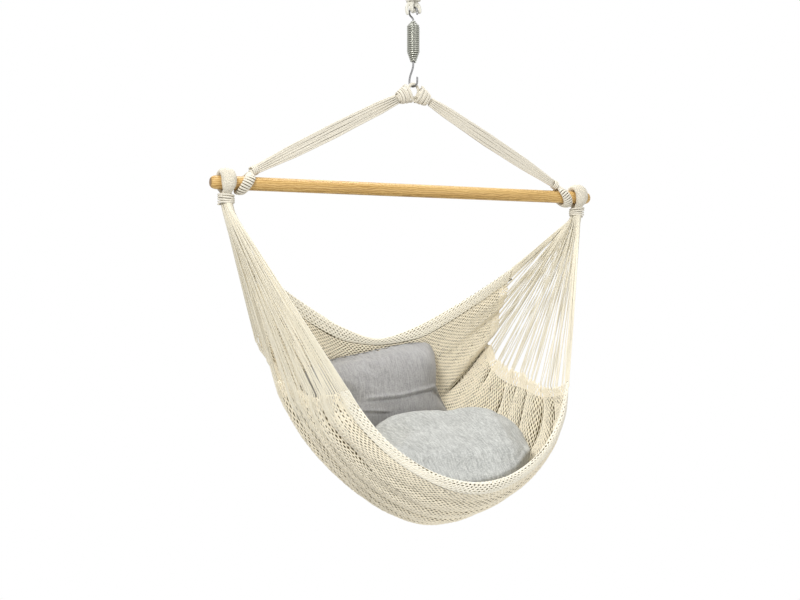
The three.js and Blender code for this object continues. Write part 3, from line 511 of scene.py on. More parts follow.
def melange_look(name, light, dark, weave, depth):
    """Woven cushion cloth of mixed light and dark yarns, brushed in streaks from front to back."""
    look = Look(name, 0.95, Sheen_Weight=0.2, Sheen_Roughness=0.6, Specular_IOR_Level=0.15)
    place = look.place()
    threads_up = look.noise(look.scaled(place, (900.0, 900.0, 180.0)), 1.0, 2.0)
    threads_across = look.noise(look.scaled(place, (180.0, 500.0, 900.0)), 1.0, 2.0)
    streaks = look.noise(look.scaled(place, (340.0, 38.0, 38.0)), 1.0, 3.0, 0.6)
    cloud = look.noise(place, 16.0, 4.0, 0.6)
    mix = (threads_up + threads_across) * 0.5
    tone = mix.ranged(0.36, 0.64) * 0.52 + streaks.ranged(0.32, 0.68) * 0.36 + cloud.ranged(0.3, 0.7) * 0.12
    color = look.mixed(tone, dark, light)
    x, z = look.part(place, 0), look.part(place, 2)
    warp = (x * (math.pi / weave)).sine().size()
    weft = (z * (math.pi / weave)).sine().size()
    normal = look.bump(warp * weft + mix * 0.6 + streaks * 0.8, depth, 0.6)
    return look.surface(Base_Color=color, Normal=normal)


light_grey = melange_look("light_grey_cloth", (0.75, 0.76, 0.725), (0.20, 0.205, 0.195), 0.0016, 0.0006)
mid_grey = melange_look("mid_grey_cloth", (0.48, 0.47, 0.46), (0.21, 0.208, 0.206), 0.0018, 0.0006)


# Rope loop over the ceiling eye and under the upper hook, laid from three strands
rope_top_radius = eye_wire / 2 + seat_gap + rope_diameter / 2
rope_bottom_radius = hook_wire / 2 + seat_gap + rope_diameter / 2
upper_bend = -up * (upper_hook_top + hook_bend_radius)
rope_bottom = upper_bend + up * hook_bend_radius
hitch_pitch = hitch_cord + winding_gap
hitch_bottom = -upper_hook_top + hook_wire / 2 + 0.006
hitch_top = hitch_bottom + hitch_turns * hitch_pitch + hitch_cord


def rope_route():
    over = arc(-up * eye_drop, hook_cross, up, rope_top_radius, 0, math.pi, 20)
    under = arc(rope_bottom, hook_cross, up, rope_bottom_radius, math.pi, 2 * math.pi, 20)

    def waist(side, z):
        return (hook_cross * side * rope_waist + up * z)[None, :]

    left = np.concatenate([over[-1:], waist(-1, hitch_top), waist(-1, hitch_bottom), under[:1]])
    right = np.concatenate([under[-1:], waist(1, hitch_bottom), waist(1, hitch_top), over[:1]])
    ring = np.concatenate([under[10:-1], right[:-1], over[:-1], left[:-1], under[:10]])
    return resampled(rounded(resampled(ring, 240), 12), 150)


def laid_strands(cords, route, diameter, pitch, sides):
    """Three plies that wind round a route and fill the rope's round."""
    _, side, other = frames_along(route)
    ply = diameter / 2 * ply_share
    for k in range(plies):
        angle = lengths_of(route)[:, None] / pitch * 2 * math.pi + k * 2 * math.pi / plies
        out = np.cos(angle) * side + np.sin(angle) * other
        cords.tube(route + (diameter / 2 - ply) * out, ply, sides)


route = rope_route()
rope = CordMesh()
laid_strands(rope, route, rope_diameter, rope_lay, 12)
rope = cotton_piece(rope.made("hanging_rope_laid"), "rope", rope_cotton, "hanging_rope")
tuple(route[0])
float(lengths_of(route)[-1])


# Short tails of the hitch: how far out from the rope, and how far over the hitch's foot
hitch_tail = ((0.005, 0.004), (0.014, 0.001), (0.0195, -0.007), (0.0205, -0.017), (0.017, -0.026))
hitch_tail_play = 0.004


def hitch():
    """Two turns of rope that squeeze both strands together above the hook."""
    radius = rope_diameter / 2 + 2 * seat_gap + hitch_cord / 2
    share, angle, out = coiled(hitch_turns, hook_cross, np.cross(up, hook_cross), 48)
    path = radius * out + np.outer(hitch_bottom + hitch_cord / 2 + share * hitch_turns * hitch_pitch, up)
    path = path + np.outer(rope_waist * np.clip(2 * np.cos(angle), -1, 1), hook_cross)
    cords = CordMesh()
    laid_strands(cords, rounded(path, 4), hitch_cord * 1.08, hitch_lay, 10)
    tail_side = unit(hook_cross + 0.45 * hook_side)
    for side in (-1, 1):
        bends = np.array(hitch_tail)
        bends[-1, 1] += hitch_tail_play * side
        tail = side * np.outer(bends[:, 0], tail_side) + np.outer(hitch_bottom + bends[:, 1], up)
        tail = rounded(resampled(tail, 30), 5)
        thick = (hitch_cord / 2) * (1 - 0.5 * smooth((np.linspace(0, 1, 30) - 0.9) * 10))
        cords.tube(tail, thick, 12)
    return cords.made("rope_hitch_turns")


cotton_piece(hitch(), "rope", rope_cotton, "rope_hitch")

# Extension spring and its two hooks
spring_pitch = spring_wire + winding_gap
spring_length = spring_pitch * spring_turns
spring_mean = (spring_outer_diameter - spring_wire) / 2
spring_end = hook_wire / 2 + seat_gap + spring_wire / 2
spring_bottom = -spring_top - spring_wire - spring_length


def spring():
    share, _, outward = coiled(spring_turns, hook_side, np.cross(-up, hook_side), 32)
    turn = share * spring_turns
    top = smooth(turn / spring_top_taper_turns)
    bottom = np.clip((spring_turns - turn) / spring_bottom_taper_turns, 0, 1)
    radius = between(spring_end, spring_mean, np.minimum(top, bottom))
    path = radius[:, None] * outward - np.outer(spring_top + spring_wire / 2 + share * spring_length, up)
    return CordMesh().tube(path, spring_wire / 2, 10, outward).made("extension_spring_coil")


coil = finished(spring(), None, spring_steel, "galvanised_steel", "extension_spring")


def head_depth(taper_turns):
    slope = (spring_mean - spring_end) / (taper_turns * spring_pitch)
    needed = hook_head_radius + seat_gap + spring_wire / 2 - spring_end
    return needed / slope + spring_wire + hook_head_height / 2


def bezier(a, b, c, d, steps):
    t = np.linspace(0, 1, steps + 1)[:, None]
    return (1 - t) ** 3 * a + 3 * t * (1 - t) ** 2 * b + 3 * t * t * (1 - t) * c + t ** 3 * d


def hook(name, head_z, out_z, bend, tip, away):
    """Bent wire with a turned head, which is a cylinder with its edges bevelled."""
    out = up * out_z
    start = bend - hook_side * hook_bend_radius
    pull = np.linalg.norm(out - start) * 0.45
    shank = bezier(out, out + away * pull, start - away * pull, start, 24)
    turn = arc(bend, -hook_side, away, hook_bend_radius, 0, math.pi, 32)[1:]
    end = turn[-1] - away * tip
    straight = np.linspace(turn[-1], end, 6)[1:]
    path = np.concatenate([[up * head_z], shank, turn, straight])
    radius = np.full(len(path), hook_wire / 2)
    radius[-1] *= hook_tip_share
    path[-1] = path[-2] + (path[-1] - path[-2]) * 0.9
    wire = CordMesh().tube(path, radius, 16, hook_cross).made(name)
    only_selected()
    bpy.ops.mesh.primitive_cylinder_add(
        vertices=40, radius=hook_head_radius, depth=hook_head_height, location=tuple(up * head_z))
    head = bpy.context.object
    bpy.ops.object.mode_set(mode="EDIT")
    bpy.ops.mesh.select_all(action="SELECT")
    bpy.ops.mesh.bevel(offset=hook_head_bevel, segments=3, affect="EDGES")
    bpy.ops.object.mode_set(mode="OBJECT")
    only_selected(head, wire)
    bpy.ops.object.join()
    return smooth_shaded(wire)


upper_head_z = -spring_top - head_depth(spring_top_taper_turns)
lower_head_z = spring_bottom + head_depth(spring_bottom_taper_turns)
lower_bend = up * (-eye_strand_top + hook_bend_radius - hook_wire / 2 - seat_gap - eye_strand_diameter / 2)
upper = hook("upper_hook_wire", upper_head_z, -spring_top, upper_bend, upper_hook_tip_drop, up)
finished(upper, "upper_hook_body", zinc_steel, "galvanised_steel", "upper_hook")
lower = hook("lower_hook_wire", lower_head_z, spring_bottom, lower_bend, lower_hook_tip_rise, -up)
finished(lower, "lower_hook_body", zinc_steel, "galvanised_steel", "lower_hook")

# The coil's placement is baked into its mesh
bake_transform(coil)

# Ceiling plate and screws keep their solids, with a worn zinc finish
for name in ("ceiling_plate", *[f"ceiling_screw_{k}" for k in range(1, 5)]):
    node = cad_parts[name]
    node.data.materials.clear()
    node.data.materials.append(zinc_steel)

# Eye of the suspension cords, in the lower hook, with its whipped sides
eye_middle = -up * (eye_strand_top + eye_ring_height / 2)
collar_point = np.array([collar_across, 0, -collar_drop])
collar_half = (collar_cord + winding_gap) * collar_turns / 2
suspension_axis = unit(collar_point - eye_middle)
suspension_normal = -np.array([suspension_axis[2], 0, -suspension_axis[0]])
suspension_second = np.cross(suspension_axis, suspension_normal)
apex_early = 0.0032
apex_cord_half = 0.0023
apex_end = apex_start + apex_length + 2 * apex_cord_half + seat_gap


def eye_cords():
    """Seven cords lie side by side round the ring and run out through both whippings."""
    cords = CordMesh()
    angle = np.linspace(0, 2 * math.pi, 65)[:-1][:, None]
    outward = np.cos(angle) * across_axis + np.sin(angle) * up
    ring = np.cos(angle) * eye_ring_width / 2 * across_axis + np.sin(angle) * eye_ring_height / 2 * up
    thin = eye_strand_diameter * 0.19
    reach = eye_strand_diameter / 2 - thin
    for k in range(7):
        turn = k * math.pi / 3
        size = 0.0 if k == 6 else reach
        off = size * (math.cos(turn) * outward + math.sin(turn) * depth_axis)
        cords.tube(eye_middle + ring + off, thin, 8, depth_axis, closed=True)
    for side in (-1, 1):
        shares = np.array([0, 0.3, 0.65, 1.0])
        start = eye_ring_width / 2
        middle = eye_middle + np.outer(between(start, apex_end, shares), suspension_axis)
        radius = between(apex_inner_radius, apex_outer_radius, shares) - 0.0050
        radius[0] = eye_strand_diameter
        hint = mirrored(suspension_normal, side)
        cords.tube(mirrored(middle, side), radius, 20, hint, flat=apex_flat_share)
    return cords.made("cord_eye_strands")


cotton_piece(eye_cords(), "bar_and_cords", cord_cotton, "cord_eye")


def whipping(name, side, path, cord, out):
    return CordMesh().tube(mirrored(path, side), cord / 2, 8, mirrored(out, side)).made(f"{name}_turns")


def apex_whipping(word, side):
    share, angle, out = coiled(apex_turns, suspension_normal, suspension_second * apex_flat_share)
    radius = between(apex_inner_radius, apex_outer_radius, share) + 0.0005 * np.sin(angle * 0.37)
    along = apex_start + apex_cord_half - apex_early + share * (apex_length + apex_early)
    path = eye_middle + np.outer(along + 0.0008 * np.sin(angle * 0.61), suspension_axis)
    return whipping(f"apex_whipping_{word}", side, path + radius[:, None] * out, apex_cord, out)


def suspension_cords(word, side):
    """Cords side by side in two layers, which leave the whipping together and gather at the collar."""
    start = eye_middle + suspension_axis * (apex_end + seat_gap)
    length = np.linalg.norm(collar_point - start)
    gather = suspension_end_radius * 2
    share = np.linspace(0, 1, 25)
    free = np.sin(math.pi * share)
    cords = CordMesh()
    half_wide = np.interp(share, [0, 0.12, 0.45, 0.75, 1], [0.0110, 0.0148, 0.0178, 0.0150, 0.0088])
    for layer, count in ((-1, 10), (1, suspension_count - 10)):
        for k in range(count):
            place = (k - (count - 1) / 2) / 4.5
            stagger = (suspension_stagger if k % 2 else -suspension_stagger) * (1 - free ** 0.5)
            depth = layer * suspension_layer_half + stagger
            wander = suspension_wander * np.sin(share * 8 + 2.3 * k + layer) * free
            along = gather / 4 + (length - gather / 2) * share
            path = start + np.outer(along, suspension_axis) + np.outer(depth, depth_axis)
            path = path + np.outer(half_wide * place + wander, suspension_normal)
            cords.tube(mirrored(path, side), suspension_cord / 2, 6, mirrored(suspension_normal, side))
    return cords.made(f"suspension_cords_{word}_bundle")


def collar_whipping(word, side):
    share, _, out = coiled(collar_turns, suspension_normal, suspension_second)
    path = collar_point + np.outer((2 * share - 1) * collar_half, suspension_axis) + collar_radius * out
    return whipping(f"collar_whipping_{word}", side, path, collar_cord, out)


# Grommet of cord under the bar: a core with its own winding from collar to collar
collar_exit = collar_point + suspension_axis * collar_half
sleeve_radius = bar_radius + seat_gap + sleeve_thick / 2
sleeve_bottom = bar_z - sleeve_radius
sleeve_lean = (sleeve_across - collar_exit[0]) / (collar_exit[2] - sleeve_bottom)
sleeve_cord = 0.0058
sleeve_cord_flat = 0.44
sleeve_pitch = 0.0063


def sleeve(word, side):
    angle = np.linspace(-sleeve_wrap, sleeve_wrap, 41)
    z = bar_z - sleeve_radius * np.cos(angle)
    x = sleeve_across - sleeve_lean * (z - sleeve_bottom)
    points = np.stack([x, sleeve_radius * np.sin(angle), z], axis=1)
    leg = (sleeve_leg_thick + seat_gap) / 2
    top = collar_point + suspension_axis * seat_gap
    out = collar_point + suspension_axis * (collar_half + collar_cord)
    legs = [np.array([[p[0], y, p[2]] for p in (top, out)]) for y in (-leg, leg)]
    path = resampled(rounded(resampled(np.concatenate([legs[0], points, legs[1][::-1]]), 120), 6), 90)
    share = np.linspace(0, 1, len(path))
    body = smooth((np.minimum(share, 1 - share) - 0.05) / 0.14)
    wide = between(sleeve_leg_width, sleeve_width * 1.14, body) / 2
    thick = between(sleeve_leg_thick, sleeve_thick, body) / 2
    path = mirrored(path, side)
    half_deep = sleeve_cord * sleeve_cord_flat / 2
    core, cords = CordMesh(), CordMesh()
    core_wide, core_thick = wide - 2 * half_deep, thick - 2 * half_deep
    core.tube(path, core_wide, 20, across_axis, flat=core_thick / core_wide)
    turns, outward = winding(path, sleeve_pitch, wide - half_deep, thick - half_deep, across_axis, 22)
    tape = unit(np.cross(np.gradient(turns, axis=0), outward))
    cords.tube(turns, sleeve_cord / 2, 8, tape, flat=sleeve_cord_flat)
    return cords.made(f"bar_sleeve_{word}_wound"), core.made(f"bar_sleeve_{word}_core")


# Loops of the hammock over the ends of the bar, wound with fine cord
neck_z = bar_z - neck_drop
neck_leg_thick = neck_width / 2 * 0.97
neck_leg_width = neck_width * 0.76
neck_pitch = neck_cord + winding_gap
loop_cord = 0.0026


def bar_loop(word, side):
    leg = (neck_leg_thick + seat_gap) / 2
    shin = neck_z + neck_turns * neck_pitch / 2 + neck_cord
    angle = np.linspace(-loop_wrap, math.pi + loop_wrap, 49)
    body = smooth((math.pi / 2 + loop_wrap - np.abs(angle - math.pi / 2)) / loop_wrap)
    radius = bar_radius + seat_gap + between(neck_leg_thick, loop_thick, body) / 2
    x = np.full_like(angle, loop_across)
    points = np.stack([x, radius * np.cos(angle), bar_z + radius * np.sin(angle)], axis=1)
    foot = np.array([[loop_across, leg, neck_z], [loop_across, leg, shin]])
    path = np.concatenate([foot, points, foot[::-1] * np.array([1, -1, 1])])
    body = np.concatenate([[0, 0], body, [0, 0]])
    at = lengths_of(path)
    share = np.linspace(0, at[-1], 100)
    body = np.interp(share, at, body)
    path = rounded(resampled(path, 100), 4)
    wide = between(neck_leg_width, loop_width, body) / 2
    thick = between(neck_leg_thick, loop_thick, body) / 2
    path = mirrored(path, side)
    cords = CordMesh()
    inner, thin = loop_cord * 0.6, loop_cord / 2
    cords.tube(path, wide - inner, 20, across_axis, flat=(thick - inner) / (wide - inner))
    turns, outward = winding(path, loop_cord * 1.03, wide - thin, thick - thin, across_axis, 20)
    cords.tube(turns, thin, 6, outward)
    return cords.made(f"hammock_loop_{word}_wound")


def neck_whipping(word, side):
    share, angle, out = coiled(neck_turns, across_axis, -depth_axis)
    uneven = 0.0006 * np.sin(angle * 0.83 + 1) + 0.0003 * np.sin(angle * 2.7)
    radius = (neck_width + neck_cord) / 2 + 0.0003 + uneven
    rise = neck_turns * neck_pitch * (0.5 - share) + 0.0009 * np.sin(angle * 1.21)
    path = np.array([loop_across, 0, neck_z]) + np.outer(rise, up) + radius[:, None] * out
    return whipping(f"neck_whipping_{word}", side, path, neck_cord, out)


for word, side in (("left", -1), ("right", 1)):
    cotton_piece(apex_whipping(word, side), "bar_and_cords", wrap_cotton, f"apex_whipping_{word}")
    cotton_piece(suspension_cords(word, side), "bar_and_cords", cord_cotton, f"suspension_cords_{word}")
    cotton_piece(collar_whipping(word, side), "bar_and_cords", wrap_cotton, f"collar_whipping_{word}")
    wound, core = sleeve(word, side)
    cotton_piece(wound, "bar_and_cords", wrap_cotton, f"bar_sleeve_{word}")
    # The grommet's core is painted dark: painted shade seen between the turns of its winding.
    cotton_piece(core, "bar_and_cords", painted_shade_cotton, f"bar_sleeve_{word}")
    cotton_piece(bar_loop(word, side), "seat", wrap_cotton, f"hammock_loop_{word}")
    cotton_piece(neck_whipping(word, side), "seat", wrap_cotton, f"neck_whipping_{word}")


# Spreader bar, turned from oak: a cylinder whose ends are extruded to tapered, rounded tips, each step
# by its length and the share of the radius that it leaves
bar_tip_steps = ((0.006, 0.95), (0.005, 0.86), (0.0025, 0.82), (0.0010, 0.88), (0.0005, 0.84))


def select_ring(mesh, test):
    for kind in (mesh.vertices, mesh.edges, mesh.polygons):
        kind.foreach_set("select", [False] * len(kind))
    for face in mesh.polygons:
        face.select = test(face.center)


def spreader_bar():
    only_selected()
    straight = bar_length - 2 * bar_taper
    bpy.ops.mesh.primitive_cylinder_add(
        vertices=64, radius=bar_radius, depth=straight,
        location=(0, 0, bar_z), rotation=(0, math.pi / 2, 0))
    bar = bpy.context.object
    bar.name = "spreader_bar_turned"
    bpy.ops.object.transform_apply(location=True, rotation=True, scale=True)
    for side in (-1, 1):
        end = straight / 2
        for step, share in bar_tip_steps:
            select_ring(bar.data, lambda c, s=side, e=end: s * c.x > e - 1e-5)
            bpy.ops.object.mode_set(mode="EDIT")
            bpy.ops.mesh.extrude_region_move(TRANSFORM_OT_translate={"value": (side * step, 0, 0)})
            bpy.ops.transform.resize(value=(1, share, share), center_override=(0, 0, bar_z))
            bpy.ops.object.mode_set(mode="OBJECT")
            end += step
    smooth_shaded(bar)
    bpy.ops.object.shade_smooth_by_angle(angle=math.radians(50))
    return bar


finished(spreader_bar(), "bar_and_cords", oak, "light_oak", "spreader_bar")


# Seat surface: across runs from -1 to 1, along from 0 at the front edge to 1 at the back edge
def course(along):
    rows = seat_courses
    i = int(np.clip(np.searchsorted(rows[:, 0], along) - 1, 0, len(rows) - 2))
    low, high = rows[i], rows[i + 1]
    slopes = np.gradient(rows, axis=0) / np.gradient(rows[:, 0])[:, None]
    span = high[0] - low[0]
    t = (along - low[0]) / span
    rise = (1 + 2 * t) * (1 - t) ** 2 * low + t * t * (3 - 2 * t) * high
    return rise + span * (t * (1 - t) ** 2 * slopes[i] - t * t * (1 - t) * slopes[i + 1])


line_samples = 60
course_table = np.array([course(k / line_samples) for k in range(line_samples + 1)])


def seat_lines(across):
    """For each place across, the points from the front edge to the back edge and their lengths."""
    a = np.asarray(across, float)[:, None]
    _, end_x, end_y, end_z, mid_y, mid_z, bulge, power = course_table.T
    low, top = middle_round ** power, (1 + middle_round ** 2) ** (power / 2)
    climb = ((a * a + middle_round ** 2) ** (power / 2) - low) / (top - low)
    x = seat_half_width * end_x * (a + bulge * (a - a ** 3))
    y = seat_depth * between(mid_y, end_y, climb)
    z = bar_z - seat_drop * between(mid_z, end_z, climb)
    points = np.stack([x, y, z], axis=2)
    return points, lengths_of(points)


def on_lines(points, at, lengths):
    """Points at the given lengths, one row of lengths for each line."""
    return np.array([sampled(*line) for line in zip(points, at, lengths)])


def back_width(across):
    open_share = smooth(np.abs(across) / back_band_waist_reach)
    return back_band_width * (1 - back_band_waist_share * (1 - open_share))


def net_grid(across, along):
    """Points of the net between its bands, for each place across and each share from band to band."""
    points, at = seat_lines(across)
    start = front_band_width + net_band_gap
    end = at[:, -1] - back_width(np.asarray(across, float)) - net_band_gap
    return on_lines(points, at, start + (end - start)[:, None] * np.asarray(along)[None, :])


def net_normals(across, along):
    step = 0.01
    a = np.clip(across, -1 + step, 1 - step)
    b = np.clip(along, step, 1 - step)
    over = net_grid(a + step, b) - net_grid(a - step, b)
    forth = net_grid(a, b + step) - net_grid(a, b - step)
    return unit(np.cross(over, forth))


# Creases between the pleats at the net's ends: place along, half width, how far out they start, depth at
# the left and at the right end. Cords at a crease's bottom are drawn apart, at the left end less.
net_creases = (
    (0.05, 0.030, 0.80, 0.3, 0.5), (0.11, 0.034, 0.10, 1.0, 0.5), (0.20, 0.036, 0.55, 0.6, 1.0),
    (0.32, 0.036, 0.45, 1.0, 1.0), (0.40, 0.026, 0.75, 0.5, 0.4), (0.49, 0.036, 0.50, 1.0, 1.3),
    (0.62, 0.030, 0.70, 0.6, 0.7), (0.755, 0.036, 0.45, 0.9, 1.3), (0.88, 0.022, 0.85, 0.4, 0.3))
crease_drift = 0.012
crease_run_in = 0.3
crease_spread = 1.6
crease_apart = 0.3, 1.2
crease_rows = 1.7


def creased(a, b):
    """How deep a crease is at each place, and how far the cords at its bottom are drawn apart."""
    depth = np.zeros(np.broadcast(a, b).shape)
    apart = np.zeros(depth.shape)
    for place, half_width, start, left, right in net_creases:
        drift = crease_drift * np.sin(4 * a + 60 * place)
        reach = smooth((np.abs(a) - start) / crease_run_in) * np.where(a < 0, left, right)
        off = b - place - drift
        near = 1 - np.clip(np.abs(off) / (crease_spread * half_width), 0, 1)
        depth = np.maximum(depth, reach * (1 - np.sqrt(1 - near ** 2)))
        bottom = np.clip(reach * np.where(a < 0, *crease_apart), 0, 1)
        bottom = bottom * (1 - 0.8 * smooth((np.abs(a) - 0.87) / 0.08))
        apart = np.maximum(apart, bottom * np.exp(-((off * net_rows - 1.0) / crease_rows) ** 4))
    return depth, apart


ripple_count = 15
ripple_height = 0.0075
ripple_sharpness = 1.8
ripple_valley = 0.65
fold_shallow = 0.35
pleat_height = 0.015
crease_cut = 1.9


def edge_calm(b, steepness):
    """From 0 at both edges of the net to 1 further in."""
    return smooth(b * steepness) * smooth((1 - b) * steepness)


def folded(across, along):
    """The net with its folds, its normals, and how deep in a valley of a fold each point lies."""
    a, b = np.asarray(across, float)[:, None], np.asarray(along, float)[None, :]
    gather = smooth((np.abs(a) - fold_start_share) / (1 - fold_start_share))
    inside = np.maximum(smooth((b - 0.42) / 0.16), smooth((a - 0.35) / 0.3))
    broad = np.sin(2 * math.pi * fold_count * b) * (1 - 2 * inside)
    crease = creased(a, b)[0]
    rise = (1 + np.sin(2 * math.pi * ripple_count * b + 1.7 * a + 0.9 * np.sin(3.1 * a + 1))) / 2
    furrow = (1 - rise) ** ripple_sharpness
    swell = ripple_height * (0.6 + 0.4 * np.sin(4.3 * a + 11 * b)) * edge_calm(b, 12)
    normals = net_normals(across, along)
    lift = fold_height * gather * edge_calm(b, fold_count) * broad * fold_shallow
    clear = smooth((np.abs(a) - 0.5) / 0.2)
    lift = lift + pleat_height * (gather - crease_cut * crease * clear) * (2 * inside - 1) * edge_calm(b, 25)
    lift = lift - swell * (1 - furrow) * (1 - 0.6 * inside)
    valley = np.clip(np.maximum(ripple_valley * furrow * (1 - 0.5 * gather), crease), 0, 1)
    return net_grid(across, along) + normals * lift[:, :, None], normals, valley


# Net: cords that run across the seat in zigzags and meet their neighbours at every bend
net_rows = 176
net_periods = 64
net_samples = 4 * net_periods
net_parts = (("net_front", 0, 59), ("net_middle", 59, 118), ("net_back", 118, 176))
net_bend, net_valley_bend, net_wavy_bend, net_bend_play = 0.135, 0.085, 0.03, 0.28
net_lift_play = 0.00035
net_cord_share, net_valley_thinner, net_apart_thinner = 0.415, 0.045, 0.18
net_least_radius, net_most_radius, net_cord_depth = 0.0009, 0.0032, 0.0023
net_least_cut, net_cut_play, net_crease_cut = 0.004, 0.008, 0.035


def zigzag(count):
    """Cords bend two places one way, then two places the other way."""
    return np.sign(np.cos(np.arange(count) * math.pi / 2 + math.pi / 4))


def net_pieces():
    across = np.linspace(-1, 1, net_samples + 1)
    along = (np.arange(net_rows) + 0.5) / net_rows
    points, normals, valley = folded(across, along)
    before = folded(across, along - 0.5 / net_rows)[0]
    after = folded(across, along + 0.5 / net_rows)[0]
    way = after - before
    pitch = np.linalg.norm(way, axis=2)
    swing = zigzag(net_samples + 1)
    for name, first, last in net_parts:
        cords = CordMesh()
        for row in range(first, last):
            short = net_least_cut + net_cut_play * draws.random()
            short = short + net_crease_cut * creased(np.array([-1.0, 1.0]), along[row])[0]
            first_used, unused = (short / 2 * net_samples).astype(int)
            used = slice(first_used, net_samples + 1 - unused)
            apart = creased(across, along[row])[1]
            loose = net_bend + net_valley_bend * valley[:, row]
            loose = loose + net_wavy_bend * np.sin(across * 31 + row * 0.9) * np.sin(row * 0.37)
            loose = loose * (1 - 0.4 * apart) * (1 if row % 2 else -1)
            bend = loose * swing * (1 + net_bend_play * draws.standard_normal(net_samples + 1))
            lift = net_lift_play * draws.standard_normal(net_samples + 1)
            path = points[:, row] + way[:, row] * bend[:, None] + normals[:, row] * lift[:, None]
            # Cords thin out in the valleys and at crease bottoms, so the dark sheet of painted shade under
            # them shows as dark lines.
            thin = net_cord_share - net_valley_thinner * valley[:, row] - net_apart_thinner * apart
            radius = np.clip(pitch[:, row] * thin, net_least_radius, net_most_radius)
            flat = np.clip(net_cord_depth / radius, 0.6, 1.0)
            cords.tube(path[used], radius[used], 5, way[used, row], flat=flat[used])
        yield cords.made(name)


def closed_sheet(name, points, normals, thick):
    """A sheet of even thickness over a grid of points, with its four edges closed."""
    rows, columns = points.shape[:2]
    both = np.concatenate([points + normals * thick / 2, points - normals * thick / 2]).reshape(-1, 3)
    below = rows * columns
    index = np.arange(below).reshape(rows, columns)
    quads = np.stack([index[:-1, :-1], index[1:, :-1], index[1:, 1:], index[:-1, 1:]], axis=2).reshape(-1, 4)
    rim = np.concatenate([index[0, :-1], index[:-1, -1], index[-1, :0:-1], index[:0:-1, 0]])
    ahead = np.roll(rim, -1)
    sides = np.stack([rim, ahead, ahead + below, rim + below], axis=1)
    faces = np.concatenate([quads, quads[:, ::-1] + below, sides])
    return mesh_object(name, both, faces.tolist())


weave_reach = 0.935
weave_overlap = 0.006
weave_thick = 0.0012


def weave_shade_sheet():
    """A closed sheet for the inner cords of the weave, painted dark as the shade seen through the net's
    slits, and the sizes of the net laid flat.
    """
    across = np.linspace(-weave_reach, weave_reach, 121)
    points, normals, _ = folded(across, np.linspace(-weave_overlap, 1 + weave_overlap, 181))
    over = np.linalg.norm(np.diff(points, axis=0), axis=2)
    forth = np.linalg.norm(np.diff(points, axis=1), axis=2)
    area = (over[:, :-1] * forth[:-1]).sum()
    sizes = float(over.sum(axis=0).max()), float(forth.sum(axis=1).max())
    return closed_sheet("net_inner_weave_painted_shade", points, normals, weave_thick), sizes, float(area)


net_rows_made = [cotton_piece(piece, "seat", net_cotton, "seat_net") for piece in net_pieces()]
weave, weave_sizes, weave_area = weave_shade_sheet()
# The sheet under the net is painted dark: painted shade seen through the slits.
cotton_piece(weave, "seat", painted_shade_cotton, "seat_net")
min(weave_area, weave_sizes[0] * weave_sizes[1])


# Bands: the net's cords at each edge, rolled together side by side round an oval
def round_oval(half_wide, half_thick, shares):
    """Places at shares of an oval's outline, across it and through it, one oval for each row."""
    angle = np.linspace(0, 2 * math.pi, 121)
    outline = np.stack([half_wide[:, None] * np.cos(angle), half_thick[:, None] * np.sin(angle)], axis=2)
    at = lengths_of(outline)
    to = (shares % 1) * at[:, -1]
    turn = np.array([np.interp(t, row, angle) for t, row in zip(to, at)])
    return half_wide * np.cos(turn), half_thick * np.sin(turn), at[:, -1]


band_periods = 68
band_bend, band_bend_play = 0.19, 0.25
band_end_thinner = 0.35
band_fill, band_spare_cords = 0.43, 2.7
band_lean = 0.16


def band(name, thick, front, count):
    across = np.linspace(-1, 1, 4 * band_periods + 1)
    points, at = seat_lines(across)
    width = np.full(len(across), front_band_width) if front else back_width(across)
    if front:
        outer, inner = points[:, 0], on_lines(points, at, width[:, None])[:, 0]
    else:
        outer, inner = points[:, -1], on_lines(points, at, at[:, -1:] - width[:, None])[:, 0]
    middle = (outer + inner) / 2
    wide_way = unit(inner - outer)
    normal = net_normals(across, np.array([0.0 if front else 1.0]))[:, 0]
    thick_way = square_to(normal, wide_way)
    half_thick = thick / 2 * (1 - band_end_thinner * smooth((np.abs(across) - 0.8) * 5))
    round_all = round_oval(width / 2, half_thick, np.zeros(len(across)))[2]
    radius = np.minimum(round_all * band_fill / (count + band_spare_cords), half_thick * 0.55)
    swing = zigzag(len(across))
    cords = CordMesh()
    for k in range(count):
        play = 1 + band_bend_play * draws.standard_normal(len(across))
        bend = band_bend * swing * (1 if k % 2 else -1) * play
        share = (k + 0.5 + bend) / count + across * band_lean + 0.006 * np.sin(across * 19 + 2.1 * k)
        wide, deep, _ = round_oval(width / 2 - radius, half_thick - radius, share)
        out = wide[:, None] * wide_way + deep[:, None] * thick_way
        cords.tube(middle + out, radius, 6, unit(out))
    core = CordMesh()
    core_wide = width / 2 - radius * 2.3
    core.tube(middle, core_wide, 16, wide_way, flat=(half_thick - radius * 1.4) / core_wide)
    return cords.made(f"{name}_rolled"), core.made(f"{name}_inner")


for name, thick, front, count in (
        ("front_band", front_band_thick, True, 12), ("back_band", back_band_thick, False, 13)):
    rolled, core = band(name, thick, front, count)
    cotton_piece(rolled, "seat", band_cotton, name)
    # The band's core is painted dark: painted shade seen between the rolled cords.
    cotton_piece(core, "seat", painted_shade_cotton, name)


# Arm strings: pairs from the neck to the end of the net, whose ends lie on it for a little way
arm_string = 0.0027
arm_sag, arm_spread = 0.003, 0.0022
arm_straight = 0.012
arm_lie, arm_end_sink = 0.0034, 0.002
arm_core_start, arm_core_taper = 0.74, 0.35
band_pairs = 6
lie_steps = 6


